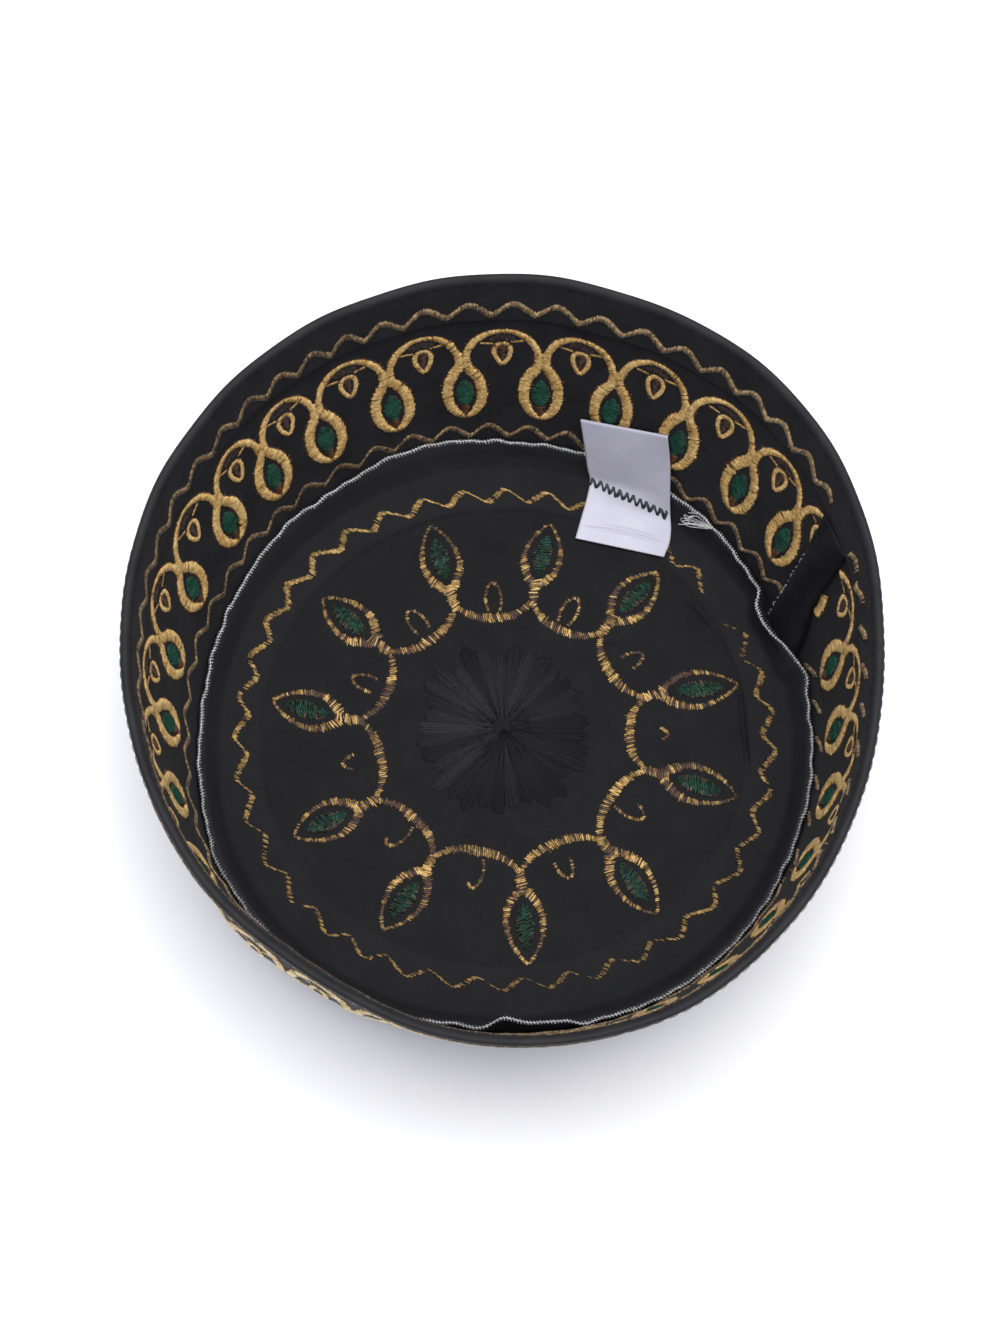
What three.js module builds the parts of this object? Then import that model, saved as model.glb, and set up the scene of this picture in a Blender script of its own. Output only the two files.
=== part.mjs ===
// A kufi: a round, brimless cap of embroidered black satin that lies upside down on its crown, with
// the head opening upward. Lengths are millimetres, angles are degrees and +Z is up. The origin is on
// the surface that the crown rests on, under the middle of the oval head opening. Angles run from +X
// towards +Y, and +Y is the far side of the cap.

import * as THREE from "three";

// Cloth thicknesses, and the air between two pieces that lie on each other
const CROWN_THICKNESS = 1.6;
const BAND_THICKNESS = 1.2;
const HEM_THICKNESS = 1.0;
const ALLOWANCE_THICKNESS = 1.2;
const FLAP_THICKNESS = 1.6;
const LABEL_THICKNESS = 0.8;
const GAP = 0.3;

// Heights of the seam that joins crown and band, and of the folded rim
const SEAM_HEIGHT = 4.0;
const RIM_HEIGHT = 62.7;

// The seam is nearly round
const SEAM_CENTRE = { x: 0.55, y: 0.3 };
const SEAM_ROWS = [
  { angle: 0, radius: 75.9 },
  { angle: 30, radius: 75.0 },
  { angle: 60, radius: 74.8 },
  { angle: 90, radius: 75.8 },
  { angle: 120, radius: 75.6 },
  { angle: 150, radius: 75.0 },
  { angle: 180, radius: 75.0 },
  { angle: 210, radius: 77.8 },
  { angle: 240, radius: 78.4 },
  { angle: 270, radius: 77.6 },
  { angle: 300, radius: 79.0 },
  { angle: 330, radius: 77.8 },
];

// The rim is an oval that gentle handling has pushed in at the near left and at the right
const RIM_CENTRE = { x: -0.1, y: 0.2 };
const RIM_ROWS = [
  { angle: 0, radius: 88.7 },
  { angle: 22.5, radius: 91.7 },
  { angle: 45, radius: 94.8 },
  { angle: 67.5, radius: 95.3 },
  { angle: 90, radius: 95.9 },
  { angle: 112.5, radius: 94.9 },
  { angle: 135, radius: 93.2 },
  { angle: 157.5, radius: 90.7 },
  { angle: 180, radius: 88.4 },
  { angle: 202.5, radius: 88.3 },
  { angle: 225, radius: 90.5 },
  { angle: 247.5, radius: 93.6 },
  { angle: 270, radius: 95.9 },
  { angle: 292.5, radius: 97.0 },
  { angle: 315, radius: 93.9 },
  { angle: 337.5, radius: 90.1 },
];

// How far the wall swells out between seam and rim; one sharper bulge sits at the near left
const SWELL_ROWS = [
  { angle: 0, out: 0.6 },
  { angle: 45, out: 0.1 },
  { angle: 90, out: 0.0 },
  { angle: 135, out: 0.8 },
  { angle: 170, out: 1.5 },
  { angle: 205, out: 1.9 },
  { angle: 225, out: 1.2 },
  { angle: 238, out: 3.2 },
  { angle: 250, out: 1.8 },
  { angle: 262, out: 1.4 },
  { angle: 280, out: 0.3 },
  { angle: 325, out: 0.6 },
];

// The folded rim: the band's cloth rolls inward over the top of the hem
const RIM_ROLL = 0.6;
const RIM_LIP_DEPTH = BAND_THICKNESS + GAP + HEM_THICKNESS;
const RIM_LIP_HEIGHT = 1.0;
const HEM_WIDTH = 13.0;

// Crown section from the middle outward: reach is the share of the seam's radius
const CROWN_SECTION = [
  { reach: 0.40, under: 0.0, top: CROWN_THICKNESS },
  { reach: 0.76, under: 0.0, top: CROWN_THICKNESS },
  { reach: 0.85, under: 0.4, top: 2.0 },
  { reach: 0.92, under: 1.1, top: 2.8 },
  { reach: 0.96, under: 1.7, top: SEAM_HEIGHT - GAP },
  { reach: 0.99, under: 2.5, top: SEAM_HEIGHT - GAP },
  { reach: 1.00, under: 3.2, top: SEAM_HEIGHT - GAP },
];

// Folded flap of the band's closing seam: it spans from one angle to another and its free edge, at
// the second angle, lifts a little off the band
const FLAP_ROWS = [
  { height: SEAM_HEIGHT + GAP, from: 14.4, to: 24.9 },
  { height: 17.0, from: 15.4, to: 25.5 },
  { height: 30.0, from: 17.0, to: 25.8 },
  { height: RIM_HEIGHT - HEM_WIDTH - GAP, from: 18.2, to: 26.6 },
];
const FLAP_LIFT = 0.8;

// Over these angles the crown seam allowance climbs onto the flap, and comes down past its free edge
const FLAP_CLIMB = 5;
const FLAP_LEVEL = 1;

// Raw edge of the crown seam allowance: its height, and how far it leans away from the band
const ALLOWANCE_ROWS = [
  { angle: 0, height: 9.0, lean: 0.5 },
  { angle: 6, height: 9.0, lean: 0.6 },
  { angle: 12, height: 10.6, lean: 0.1 },
  { angle: 16, height: 9.6, lean: 1.0 },
  { angle: 21, height: 9.4, lean: 3.0 },
  { angle: 25.5, height: 9.6, lean: 3.0 },
  { angle: 31, height: 9.4, lean: 2.6 },
  { angle: 37.5, height: 9.6, lean: 2.4 },
  { angle: 44.5, height: 9.8, lean: 1.6 },
  { angle: 50, height: 9.2, lean: 1.0 },
  { angle: 57, height: 8.6, lean: 0.3 },
  { angle: 74, height: 9.0, lean: 0.4 },
  { angle: 89, height: 9.6, lean: 0.9 },
  { angle: 101, height: 10.2, lean: 0.2 },
  { angle: 112, height: 10.2, lean: 0.2 },
  { angle: 124, height: 9.2, lean: 0.7 },
  { angle: 136, height: 9.8, lean: 0.4 },
  { angle: 148, height: 9.2, lean: 0.6 },
  { angle: 161, height: 9.0, lean: 0.8 },
  { angle: 174, height: 8.6, lean: 0.8 },
  { angle: 190, height: 9.0, lean: 0.5 },
  { angle: 199, height: 9.3, lean: 0.5 },
  { angle: 206, height: 11.4, lean: 0.1 },
  { angle: 225, height: 10.6, lean: 0.1 },
  { angle: 254, height: 10.6, lean: 0.1 },
  { angle: 262, height: 9.8, lean: 1.0 },
  { angle: 266, height: 10.0, lean: 0.4 },
  { angle: 270, height: 9.2, lean: 3.0 },
  { angle: 275, height: 9.6, lean: 1.8 },
  { angle: 281, height: 9.8, lean: 1.5 },
  { angle: 284, height: 10.2, lean: 0.3 },
  { angle: 290, height: 9.8, lean: 0.4 },
  { angle: 300, height: 10.6, lean: 0.1 },
  { angle: 320, height: 10.2, lean: 0.1 },
  { angle: 335, height: 9.0, lean: 0.4 },
  { angle: 347, height: 9.8, lean: 0.3 },
];
const ALLOWANCE_BEND = 1 / 3;

// The ribbon label, from the edge that stands against the band to the edge that lies over the crown
const LABEL_ROWS = [
  { left: [19.2, 76.2, 20.6], right: [40.5, 69.4, 25.8] },
  { left: [20.3, 72.3, 14.2], right: [41.4, 65.2, 17.6] },
  { left: [21.2, 68.9, 8.0], right: [41.6, 60.4, 9.4] },
  { left: [21.9, 66.7, 4.9], right: [41.8, 57.4, 5.1] },
  { left: [21.1, 62.6, 3.6], right: [42.0, 54.0, 3.7] },
  { left: [19.7, 57.6, 2.8], right: [41.6, 50.6, 2.9] },
  { left: [18.2, 52.0, 2.5], right: [40.2, 47.0, 2.5] },
];

// Shares of the wall's height where its faces divide
const WALL_SHARES = [0, 0.12, 0.28, 0.45, 0.62, 0.8];

// Facets
const WALL_SECTIONS = 96;
const ALLOWANCE_SECTIONS = 144;
const FLAP_COLUMNS = 6;
const FLAP_STEPS = 8;
const LABEL_COLUMNS = 6;
const LABEL_STEPS = 2;

const FINISHES = {
  crown: { color: 0x242428, roughness: 0.62, metalness: 0 },
  side_band: { color: 0x1d1d22, roughness: 0.58, metalness: 0 },
  rim_hem: { color: 0x2a2b31, roughness: 0.52, metalness: 0 },
  crown_seam_allowance: { color: 0x2b2b30, roughness: 0.7, metalness: 0 },
  back_seam_allowance: { color: 0x1a1a1e, roughness: 0.65, metalness: 0 },
  label: { color: 0xe4e4ea, roughness: 0.4, metalness: 0 },
};

// A table's value at an angle, on a smooth curve that closes on itself
function around(rows, column, angle) {
  const turned = ((angle % 360) + 360) % 360;
  const count = rows.length;
  const low = rows.findLastIndex((row) => row.angle <= turned);
  const rowAt = (index) => {
    const lap = Math.floor(index / count);
    const row = rows[index - lap * count];
    return { angle: row.angle + 360 * lap, value: row[column] };
  };
  const [before, start, end, after] = [-1, 0, 1, 2].map((step) => rowAt(low + step));
  const span = end.angle - start.angle;
  const t = (turned - start.angle) / span;
  const startSlope = (end.value - before.value) / (end.angle - before.angle);
  const endSlope = (after.value - start.value) / (after.angle - start.angle);
  return (
    (2 * t ** 3 - 3 * t ** 2 + 1) * start.value +
    (t ** 3 - 2 * t ** 2 + t) * span * startSlope +
    (3 * t ** 2 - 2 * t ** 3) * end.value +
    (t ** 3 - t ** 2) * span * endSlope
  );
}

// A table's value at a height, on straight lines between its rows
function upward(rows, column, height) {
  const index = rows.findIndex((row, place) => place > 0 && height <= row.height);
  const end = index < 0 ? rows.length - 1 : index;
  const [a, b] = [rows[end - 1], rows[end]];
  return THREE.MathUtils.mapLinear(height, a.height, b.height, a[column], b[column]);
}

function heading(angle) {
  const turn = THREE.MathUtils.degToRad(angle);
  return new THREE.Vector3(Math.cos(turn), Math.sin(turn), 0);
}

// A point out from the seam's centre, at a share of the seam's own radius
function seamPoint(angle, reach, height) {
  const out = heading(angle).multiplyScalar(reach * around(SEAM_ROWS, "radius", angle));
  return out.add(new THREE.Vector3(SEAM_CENTRE.x, SEAM_CENTRE.y, height));
}

// A point of the band's wall: depth is measured inward from its outer face
function wallPoint(angle, height, depth) {
  const rise = (height - SEAM_HEIGHT) / (RIM_HEIGHT - SEAM_HEIGHT);
  const out = heading(angle);
  const rim = new THREE.Vector3(RIM_CENTRE.x, RIM_CENTRE.y, height);
  rim.addScaledVector(out, around(RIM_ROWS, "radius", angle));
  const swell = around(SWELL_ROWS, "out", angle) * Math.sin(Math.PI * THREE.MathUtils.clamp(rise, 0, 1));
  return seamPoint(angle, 1, height).lerp(rim, rise).addScaledVector(out, swell - depth);
}

// A closed body from an indexed point list; faces are turned outward
function body(points, triangles) {
  const geometry = new THREE.BufferGeometry();
  let volume = 0;
  for (const [a, b, c] of triangles) {
    const [p, q, r] = [points[a], points[b], points[c]];
    volume += p.dot(new THREE.Vector3().crossVectors(q, r)) / 6;
  }
  const outward = volume > 0 ? triangles : triangles.map(([a, b, c]) => [a, c, b]);
  geometry.setAttribute("position", new THREE.Float32BufferAttribute(points.flatMap((p) => p.toArray()), 3));
  geometry.setIndex(outward.flat());
  geometry.computeVertexNormals();
  return geometry;
}

// A ring from one closed section per angle
function ring(count, sectionAt) {
  const points = [];
  const triangles = [];
  let size = 0;
  for (let step = 0; step < count; step += 1) {
    const section = sectionAt((360 * step) / count);
    size = section.length;
    points.push(...section);
    const next = (step + 1) % count;
    for (let index = 0; index < size; index += 1) {
      const side = (index + 1) % size;
      const corners = [step * size + index, next * size + index, next * size + side, step * size + side];
      triangles.push([corners[0], corners[1], corners[2]], [corners[0], corners[2], corners[3]]);
    }
  }
  return body(points, triangles);
}

// A slab from two grids of points, its front and its back
function slab(front, back) {
  const rows = front.length;
  const columns = front[0].length;
  const points = [...front.flat(), ...back.flat()];
  const at = (row, column) => row * columns + column;
  const behind = rows * columns;
  const triangles = [];
  const quad = (a, b, c, d) => triangles.push([a, b, c], [a, c, d]);
  for (let row = 0; row < rows - 1; row += 1) {
    for (let column = 0; column < columns - 1; column += 1) {
      const cell = [at(row, column), at(row, column + 1), at(row + 1, column + 1), at(row + 1, column)];
      quad(...cell);
      quad(...cell.map((index) => index + behind).reverse());
    }
    const [first, last] = [at(row, 0), at(row, columns - 1)];
    quad(first, first + columns, first + columns + behind, first + behind);
    quad(last + behind, last + columns + behind, last + columns, last);
  }
  for (let column = 0; column < columns - 1; column += 1) {
    const [first, last] = [at(0, column), at(rows - 1, column)];
    quad(first + behind, first + 1 + behind, first + 1, first);
    quad(last, last + 1, last + 1 + behind, last + behind);
  }
  return body(points, triangles);
}

// The round top panel: flat where it rests, and dished up to the seam
function crownGeometry() {
  const middle = (height) => new THREE.Vector3(SEAM_CENTRE.x, SEAM_CENTRE.y, height);
  const points = [middle(0), middle(CROWN_THICKNESS)];
  const triangles = [];
  const size = CROWN_SECTION.length * 2;
  for (let step = 0; step < WALL_SECTIONS; step += 1) {
    const angle = (360 * step) / WALL_SECTIONS;
    points.push(...CROWN_SECTION.map((row) => seamPoint(angle, row.reach, row.under)));
    points.push(...CROWN_SECTION.toReversed().map((row) => seamPoint(angle, row.reach, row.top)));
    const here = 2 + step * size;
    const next = 2 + ((step + 1) % WALL_SECTIONS) * size;
    triangles.push([0, next, here]);
    for (let index = 0; index < size - 1; index += 1) {
      triangles.push([here + index, next + index, next + index + 1]);
      triangles.push([here + index, next + index + 1, here + index + 1]);
    }
    triangles.push([1, here + size - 1, next + size - 1]);
  }
  return body(points, triangles);
}

// The flared side wall, with its cloth rolled in over the rim
function bandGeometry() {
  const heights = WALL_SHARES.map((share) => THREE.MathUtils.lerp(SEAM_HEIGHT, RIM_HEIGHT, share));
  const lipFoot = RIM_HEIGHT - RIM_LIP_HEIGHT;
  return ring(WALL_SECTIONS, (angle) => [
    ...heights.map((height) => wallPoint(angle, height, 0)),
    wallPoint(angle, RIM_HEIGHT - RIM_ROLL, 0),
    wallPoint(angle, RIM_HEIGHT, RIM_ROLL),
    wallPoint(angle, RIM_HEIGHT, RIM_LIP_DEPTH - RIM_ROLL / 2),
    wallPoint(angle, RIM_HEIGHT - RIM_ROLL / 2, RIM_LIP_DEPTH),
    wallPoint(angle, lipFoot, RIM_LIP_DEPTH),
    wallPoint(angle, lipFoot, BAND_THICKNESS),
    ...heights.toReversed().map((height) => wallPoint(angle, height, BAND_THICKNESS)),
  ]);
}

// The plain margin turned in below the rim
function hemGeometry() {
  const top = RIM_HEIGHT - RIM_LIP_HEIGHT - GAP;
  const foot = RIM_HEIGHT - HEM_WIDTH;
  const heights = [foot, (foot + top) / 2, top];
  const outside = BAND_THICKNESS + GAP;
  return ring(WALL_SECTIONS, (angle) => [
    ...heights.map((height) => wallPoint(angle, height, outside)),
    ...heights.toReversed().map((height) => wallPoint(angle, height, outside + HEM_THICKNESS)),
  ]);
}

// Room that the closing seam's flap takes between band and allowance, fading out past its edges
function flapRoom(angle) {
  const { from, to } = FLAP_ROWS[0];
  const rise = THREE.MathUtils.smoothstep(angle, from - FLAP_CLIMB, from - FLAP_LEVEL);
  const fall = 1 - THREE.MathUtils.smoothstep(angle, to + FLAP_LEVEL, to + FLAP_CLIMB);
  const lift = FLAP_LIFT * THREE.MathUtils.clamp((angle - from) / (to - from), 0, 1);
  return (FLAP_THICKNESS + GAP + lift) * rise * fall;
}

// Both raw edges of the crown seam, standing up against the band
function allowanceGeometry() {
  return ring(ALLOWANCE_SECTIONS, (angle) => {
    const seat = BAND_THICKNESS + GAP + flapRoom(angle);
    const height = around(ALLOWANCE_ROWS, "height", angle);
    const lean = around(ALLOWANCE_ROWS, "lean", angle);
    const middle = (SEAM_HEIGHT + height) / 2;
    return [
      wallPoint(angle, SEAM_HEIGHT, seat),
      wallPoint(angle, middle, seat + lean * ALLOWANCE_BEND),
      wallPoint(angle, height, seat + lean),
      wallPoint(angle, height, seat + lean + ALLOWANCE_THICKNESS),
      wallPoint(angle, middle, seat + lean * ALLOWANCE_BEND + ALLOWANCE_THICKNESS),
      wallPoint(angle, SEAM_HEIGHT, seat + ALLOWANCE_THICKNESS),
    ];
  });
}

// The folded flap that runs up the band from the crown seam to the hem
function flapGeometry() {
  const [foot, top] = [FLAP_ROWS[0].height, FLAP_ROWS.at(-1).height];
  const grid = (extra) =>
    Array.from({ length: FLAP_STEPS + 1 }, (_, step) => {
      const height = THREE.MathUtils.lerp(foot, top, step / FLAP_STEPS);
      const [from, to] = [upward(FLAP_ROWS, "from", height), upward(FLAP_ROWS, "to", height)];
      return Array.from({ length: FLAP_COLUMNS + 1 }, (_, column) => {
        const across = column / FLAP_COLUMNS;
        const depth = BAND_THICKNESS + GAP + FLAP_LIFT * across + extra;
        return wallPoint(THREE.MathUtils.lerp(from, to, across), height, depth);
      });
    });
  return slab(grid(0), grid(FLAP_THICKNESS));
}

// The ribbon label, bent along its stitch line
function labelGeometry() {
  const curve = (side) => new THREE.CatmullRomCurve3(LABEL_ROWS.map((row) => new THREE.Vector3(...row[side])));
  const [left, right] = [curve("left"), curve("right")];
  const steps = (LABEL_ROWS.length - 1) * LABEL_STEPS;
  const front = [];
  const back = [];
  for (let step = 0; step <= steps; step += 1) {
    const [start, end] = [left.getPoint(step / steps), right.getPoint(step / steps)];
    const across = new THREE.Vector3().subVectors(end, start).normalize();
    const along = new THREE.Vector3().addVectors(left.getTangent(step / steps), right.getTangent(step / steps));
    const normal = new THREE.Vector3().crossVectors(across, along).normalize();
    const line = (offset) =>
      Array.from({ length: LABEL_COLUMNS + 1 }, (_, column) =>
        new THREE.Vector3().lerpVectors(start, end, column / LABEL_COLUMNS).addScaledVector(normal, offset),
      );
    front.push(line(LABEL_THICKNESS / 2));
    back.push(line(-LABEL_THICKNESS / 2));
  }
  return slab(front, back);
}

const kufi = new THREE.Group();
kufi.name = "kufi";

const GEOMETRIES = {
  crown: crownGeometry(),
  side_band: bandGeometry(),
  rim_hem: hemGeometry(),
  crown_seam_allowance: allowanceGeometry(),
  back_seam_allowance: flapGeometry(),
  label: labelGeometry(),
};

for (const [name, geometry] of Object.entries(GEOMETRIES)) {
  const piece = new THREE.Mesh(geometry, new THREE.MeshStandardMaterial(FINISHES[name]));
  piece.name = name;
  kufi.add(piece);
}

export default kufi;
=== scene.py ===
"""Dresses an upturned kufi: embroidered black satin, its seams, its threads and its ribbon label.

Lengths are millimetres and angles are degrees from +X towards +Y until a mesh is made, in metres.
"""

import logging
from dataclasses import dataclass
from enum import Enum
from typing import Callable, Optional, Sequence

import bpy
import numpy as np
from bpy.types import Material, Node, NodeTree, Object
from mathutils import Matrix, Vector


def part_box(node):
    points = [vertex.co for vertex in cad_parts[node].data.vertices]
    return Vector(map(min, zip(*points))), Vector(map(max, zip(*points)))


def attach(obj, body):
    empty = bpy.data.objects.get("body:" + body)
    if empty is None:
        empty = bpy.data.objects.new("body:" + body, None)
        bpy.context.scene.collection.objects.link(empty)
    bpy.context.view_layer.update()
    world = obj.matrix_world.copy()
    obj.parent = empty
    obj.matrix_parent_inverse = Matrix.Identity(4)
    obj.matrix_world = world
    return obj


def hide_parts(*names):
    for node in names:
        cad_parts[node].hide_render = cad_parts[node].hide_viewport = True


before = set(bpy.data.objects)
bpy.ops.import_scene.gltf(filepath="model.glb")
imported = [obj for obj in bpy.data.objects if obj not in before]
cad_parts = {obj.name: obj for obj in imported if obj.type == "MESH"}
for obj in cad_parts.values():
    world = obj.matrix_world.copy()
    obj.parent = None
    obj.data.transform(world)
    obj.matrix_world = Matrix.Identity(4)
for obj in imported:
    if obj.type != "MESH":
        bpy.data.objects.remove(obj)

LOG = logging.getLogger("kufi")
MM = 0.001
SHADE = "shade"
CLOTH_UV = "cloth"
Array = np.ndarray
Pair = tuple[float, float]
Triple = tuple[float, float, float]
Row = tuple[float, ...]
Pairs = tuple[Pair, ...]
Triples = tuple[Triple, ...]
Surface = Callable[[Array, Array, Array], Array]
# The distance between the samples of a line that is filled with stitches, in millimetres.
SAMPLE = 0.3


class Face(Enum):
    """A side of the cloth."""

    INSIDE = "inside"
    OUTSIDE = "outside"


def linear(hex_colour: str) -> tuple[float, float, float, float]:
    """Turns an sRGB hex colour into linear RGBA.

    Args:
        hex_colour: Six hex digits with a leading hash.

    Returns:
        Red, green, blue and alpha, each from 0 to 1.
    """
    parts = [int(hex_colour[i : i + 2], 16) / 255 for i in (1, 3, 5)]
    red, green, blue = (
        part / 12.92 if part <= 0.04045 else ((part + 0.055) / 1.055) ** 2.4 for part in parts
    )
    return red, green, blue, 1.0


def eased(value: Array, low: float, high: float) -> Array:
    """Gives a smooth rise from 0 at low to 1 at high, read at each value."""
    share = np.clip((np.asarray(value, float) - low) / (high - low), 0.0, 1.0)
    return share * share * (3.0 - 2.0 * share)


def heading(angle: Array) -> Array:
    """Gives the level unit vector that points at each angle in degrees."""
    turn = np.radians(angle)
    return np.stack([np.cos(turn), np.sin(turn), np.zeros_like(turn)], axis=-1)


def travelled(path: Array) -> Array:
    """Gives the distance of each point of a line from its start, along the line."""
    return np.concatenate([[0.0], np.cumsum(np.linalg.norm(np.diff(path, axis=0), axis=1))])


def resampled(path: Array, along: Array, wanted: Array) -> Array:
    """Reads a line at the wanted distances, where along holds each of its points' own distance."""
    return np.stack([np.interp(wanted, along, path[:, axis]) for axis in range(path.shape[1])], axis=-1)


def rounded(points: Sequence[Sequence[float]], step: float) -> Array:
    """Draws a smooth curve through points, with evenly spaced samples.

    Args:
        points: Points of the curve, each with two or three coordinates.
        step: Distance between samples.

    Returns:
        The samples, in order.
    """
    knots = np.asarray(points, float)
    padded = np.vstack([2 * knots[0] - knots[1], knots, 2 * knots[-1] - knots[-2]])
    share = np.linspace(0.0, 1.0, 13)[:-1, None]
    spans = []
    for before, start, end, after in zip(padded, padded[1:], padded[2:], padded[3:]):
        bend = 2 * before - 5 * start + 4 * end - after
        twist = 3 * start - before - 3 * end + after
        spans.append(0.5 * (2 * start + (end - before) * share + bend * share**2 + twist * share**3))
    dense = np.vstack([*spans, knots[-1:]])
    along = travelled(dense)
    count = max(2, int(round(along[-1] / step)) + 1)
    return resampled(dense, along, np.linspace(0.0, along[-1], count))


@dataclass(frozen=True)
class AngleTable:
    """Values at angles round the cap, on a smooth curve that closes on itself."""

    angles: Row
    values: Row

    def at(self, angle: Array) -> Array:
        """Reads the curve.

        Args:
            angle: Angles in degrees.

        Returns:
            The value at each angle.
        """
        angles = np.asarray(self.angles, float)
        laps = np.concatenate([angles - 360, angles, angles + 360])
        values = np.tile(np.asarray(self.values, float), 3)
        slopes = np.zeros(len(laps))
        slopes[1:-1] = (values[2:] - values[:-2]) / (laps[2:] - laps[:-2])
        turned = np.mod(angle, 360.0)
        low = np.searchsorted(laps, turned, side="right") - 1
        span = laps[low + 1] - laps[low]
        way = (turned - laps[low]) / span
        start = (2 * way**3 - 3 * way**2 + 1) * values[low]
        start = start + (way**3 - 2 * way**2 + way) * span * slopes[low]
        end = (3 * way**2 - 2 * way**3) * values[low + 1] + (way**3 - way**2) * span * slopes[low + 1]
        return start + end


@dataclass(frozen=True)
class Ripple:
    """The gentle unevenness of handled cloth, as waves with whole numbers of lobes round the cap.

    Across the cloth's other direction a wave is at least as long as the value named shortest.
    """

    seed: int
    size: float
    lobes: tuple[int, int]
    waves: int = 14
    shortest: float = 60.0

    def at(self, angle: Array, level: Array) -> Array:
        """Reads the unevenness.

        Args:
            angle: Angles in degrees.
            level: Distances along the cloth's other direction.

        Returns:
            How far the cloth stands proud at each place.
        """
        rng = np.random.default_rng(self.seed)
        total = np.zeros(np.broadcast(angle, level).shape)
        for _ in range(self.waves):
            turns = rng.integers(self.lobes[0], self.lobes[1] + 1)
            climb = rng.uniform(-1.0, 1.0) * 2 * np.pi / self.shortest
            phase = rng.uniform(0.0, 2 * np.pi)
            total = total + np.sin(turns * np.radians(angle) + climb * np.asarray(level) + phase)
        return self.size * total / np.sqrt(self.waves)


@dataclass(frozen=True)
class CapForm:
    """The cap's own form, shared by its cloth and by every thread that lies on it.

    One stretch of the wall has a soft fold, a crest with a shallow hollow above it.
    """

    seam_height: float
    rim_height: float
    seam_centre: Pair = (0.55, 0.3)
    rim_centre: Pair = (-0.1, 0.2)
    band_thickness: float = 1.2
    hem_depth: float = 2.5
    hem_width: float = 13.0
    pattern_radius: float = 84.0
    crown_floor: float = 0.35
    crown_top: float = 1.6
    crown_dish: float = 2.3
    crown_flat: float = 0.74
    crown_edge: float = 1.08
    crown_curve: float = 0.9
    seam: AngleTable = AngleTable(
        angles=(0, 30, 60, 90, 120, 150, 180, 210, 240, 270, 300, 330),
        values=(75.9, 75.0, 74.8, 75.8, 75.6, 75.0, 75.0, 77.8, 78.4, 77.6, 79.0, 77.8),
    )
    rim: AngleTable = AngleTable(
        angles=(0, 22.5, 45, 67.5, 90, 112.5, 135, 157.5, 180, 202.5, 225, 237, 248, 258, 270, 292.5, 315,
                337.5),
        values=(88.7, 91.7, 94.8, 95.3, 95.9, 94.9, 93.2, 90.7, 88.4, 88.3, 89.8, 90.3, 92.0, 94.3, 95.9,
                97.0, 93.9, 90.1),
    )
    swell: AngleTable = AngleTable(
        angles=(0, 45, 90, 135, 170, 205, 225, 238, 250, 262, 280, 325),
        values=(0.6, 0.1, 0.0, 0.8, 1.5, 1.9, 0.9, 0.3, 0.3, 0.6, 0.3, 0.6),
    )
    fold: AngleTable = AngleTable(
        angles=(0, 150, 216, 228, 244, 252, 262, 320), values=(0.0, 0.0, 0.0, 1.4, 1.4, 0.7, 0.0, 0.0)
    )
    fold_height: float = 36.5
    fold_above: float = 5.0
    fold_below: float = 15.0
    hollow_rise: float = 14.0
    hollow_reach: float = 6.0
    hollow_share: float = 0.5
    unevenness: Ripple = Ripple(seed=11, size=0.16, lobes=(4, 22))
    even_height: float = 12.0
    hem_step: float = 0.3
    axis_end: float = 1.2
    closing_angle: float = 20.2

    @property
    def slant(self) -> float:
        """The wall's length from rim to seam, measured along the cloth."""
        lean = np.mean(self.rim.values) - np.mean(self.seam.values)
        return float(np.hypot(self.rim_height - self.seam_height, lean))

    def height_at(self, down: Array) -> Array:
        """Gives the height of a place that is measured down the wall from the rim."""
        return self.rim_height - np.asarray(down) * (self.rim_height - self.seam_height) / self.slant

    def outer_radius(self, angle: Array, height: Array) -> Array:
        """Gives the radius of the wall's outer face.

        Args:
            angle: Angles in degrees.
            height: Heights above the floor.

        Returns:
            One radius for each place.
        """
        rise = (np.asarray(height) - self.seam_height) / (self.rim_height - self.seam_height)
        straight = self.seam.at(angle) * (1 - rise) + self.rim.at(angle) * rise
        off = np.asarray(height) - self.fold_height
        reach = np.where(off > 0, self.fold_above, self.fold_below)
        hollow = self.hollow_share * np.exp(-(((off - self.hollow_rise) / self.hollow_reach) ** 2))
        crest = np.exp(-((off / reach) ** 2)) - hollow
        swollen = self.swell.at(angle) * np.sin(np.pi * np.clip(rise, 0.0, 1.0))
        return straight + swollen + self.fold.at(angle) * crest

    def point(self, angle: Array, radius: Array, height: Array) -> Array:
        """Places a point by its direction, its radius and its height.

        Args:
            angle: Angles in degrees.
            radius: Distances from the cap's own axis, which leans a little.
            height: Heights above the floor.

        Returns:
            Points in the row frame.
        """
        angle, radius, height = np.broadcast_arrays(angle, radius, np.asarray(height, float))
        rise = (height - self.seam_height) / (self.rim_height - self.seam_height)
        rise = np.clip(rise, 0.0, self.axis_end)
        low, high = np.array([*self.seam_centre, 0.0]), np.array([*self.rim_centre, 0.0])
        centre = low + (high - low) * rise[..., None]
        made = centre + heading(angle) * radius[..., None]
        made[..., 2] = height
        return made

    def wall(self, angle: Array, height: Array, depth: Array) -> Array:
        """Places a point of the wall.

        Args:
            angle: Angles in degrees.
            height: Heights above the floor.
            depth: Distances inward from the outer face.

        Returns:
            Points in the row frame.
        """
        share = eased(height, self.seam_height, self.seam_height + self.even_height)
        bend = self.unevenness.at(angle, height) * share
        return self.point(angle, self.outer_radius(angle, height) - depth + bend, height)

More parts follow.
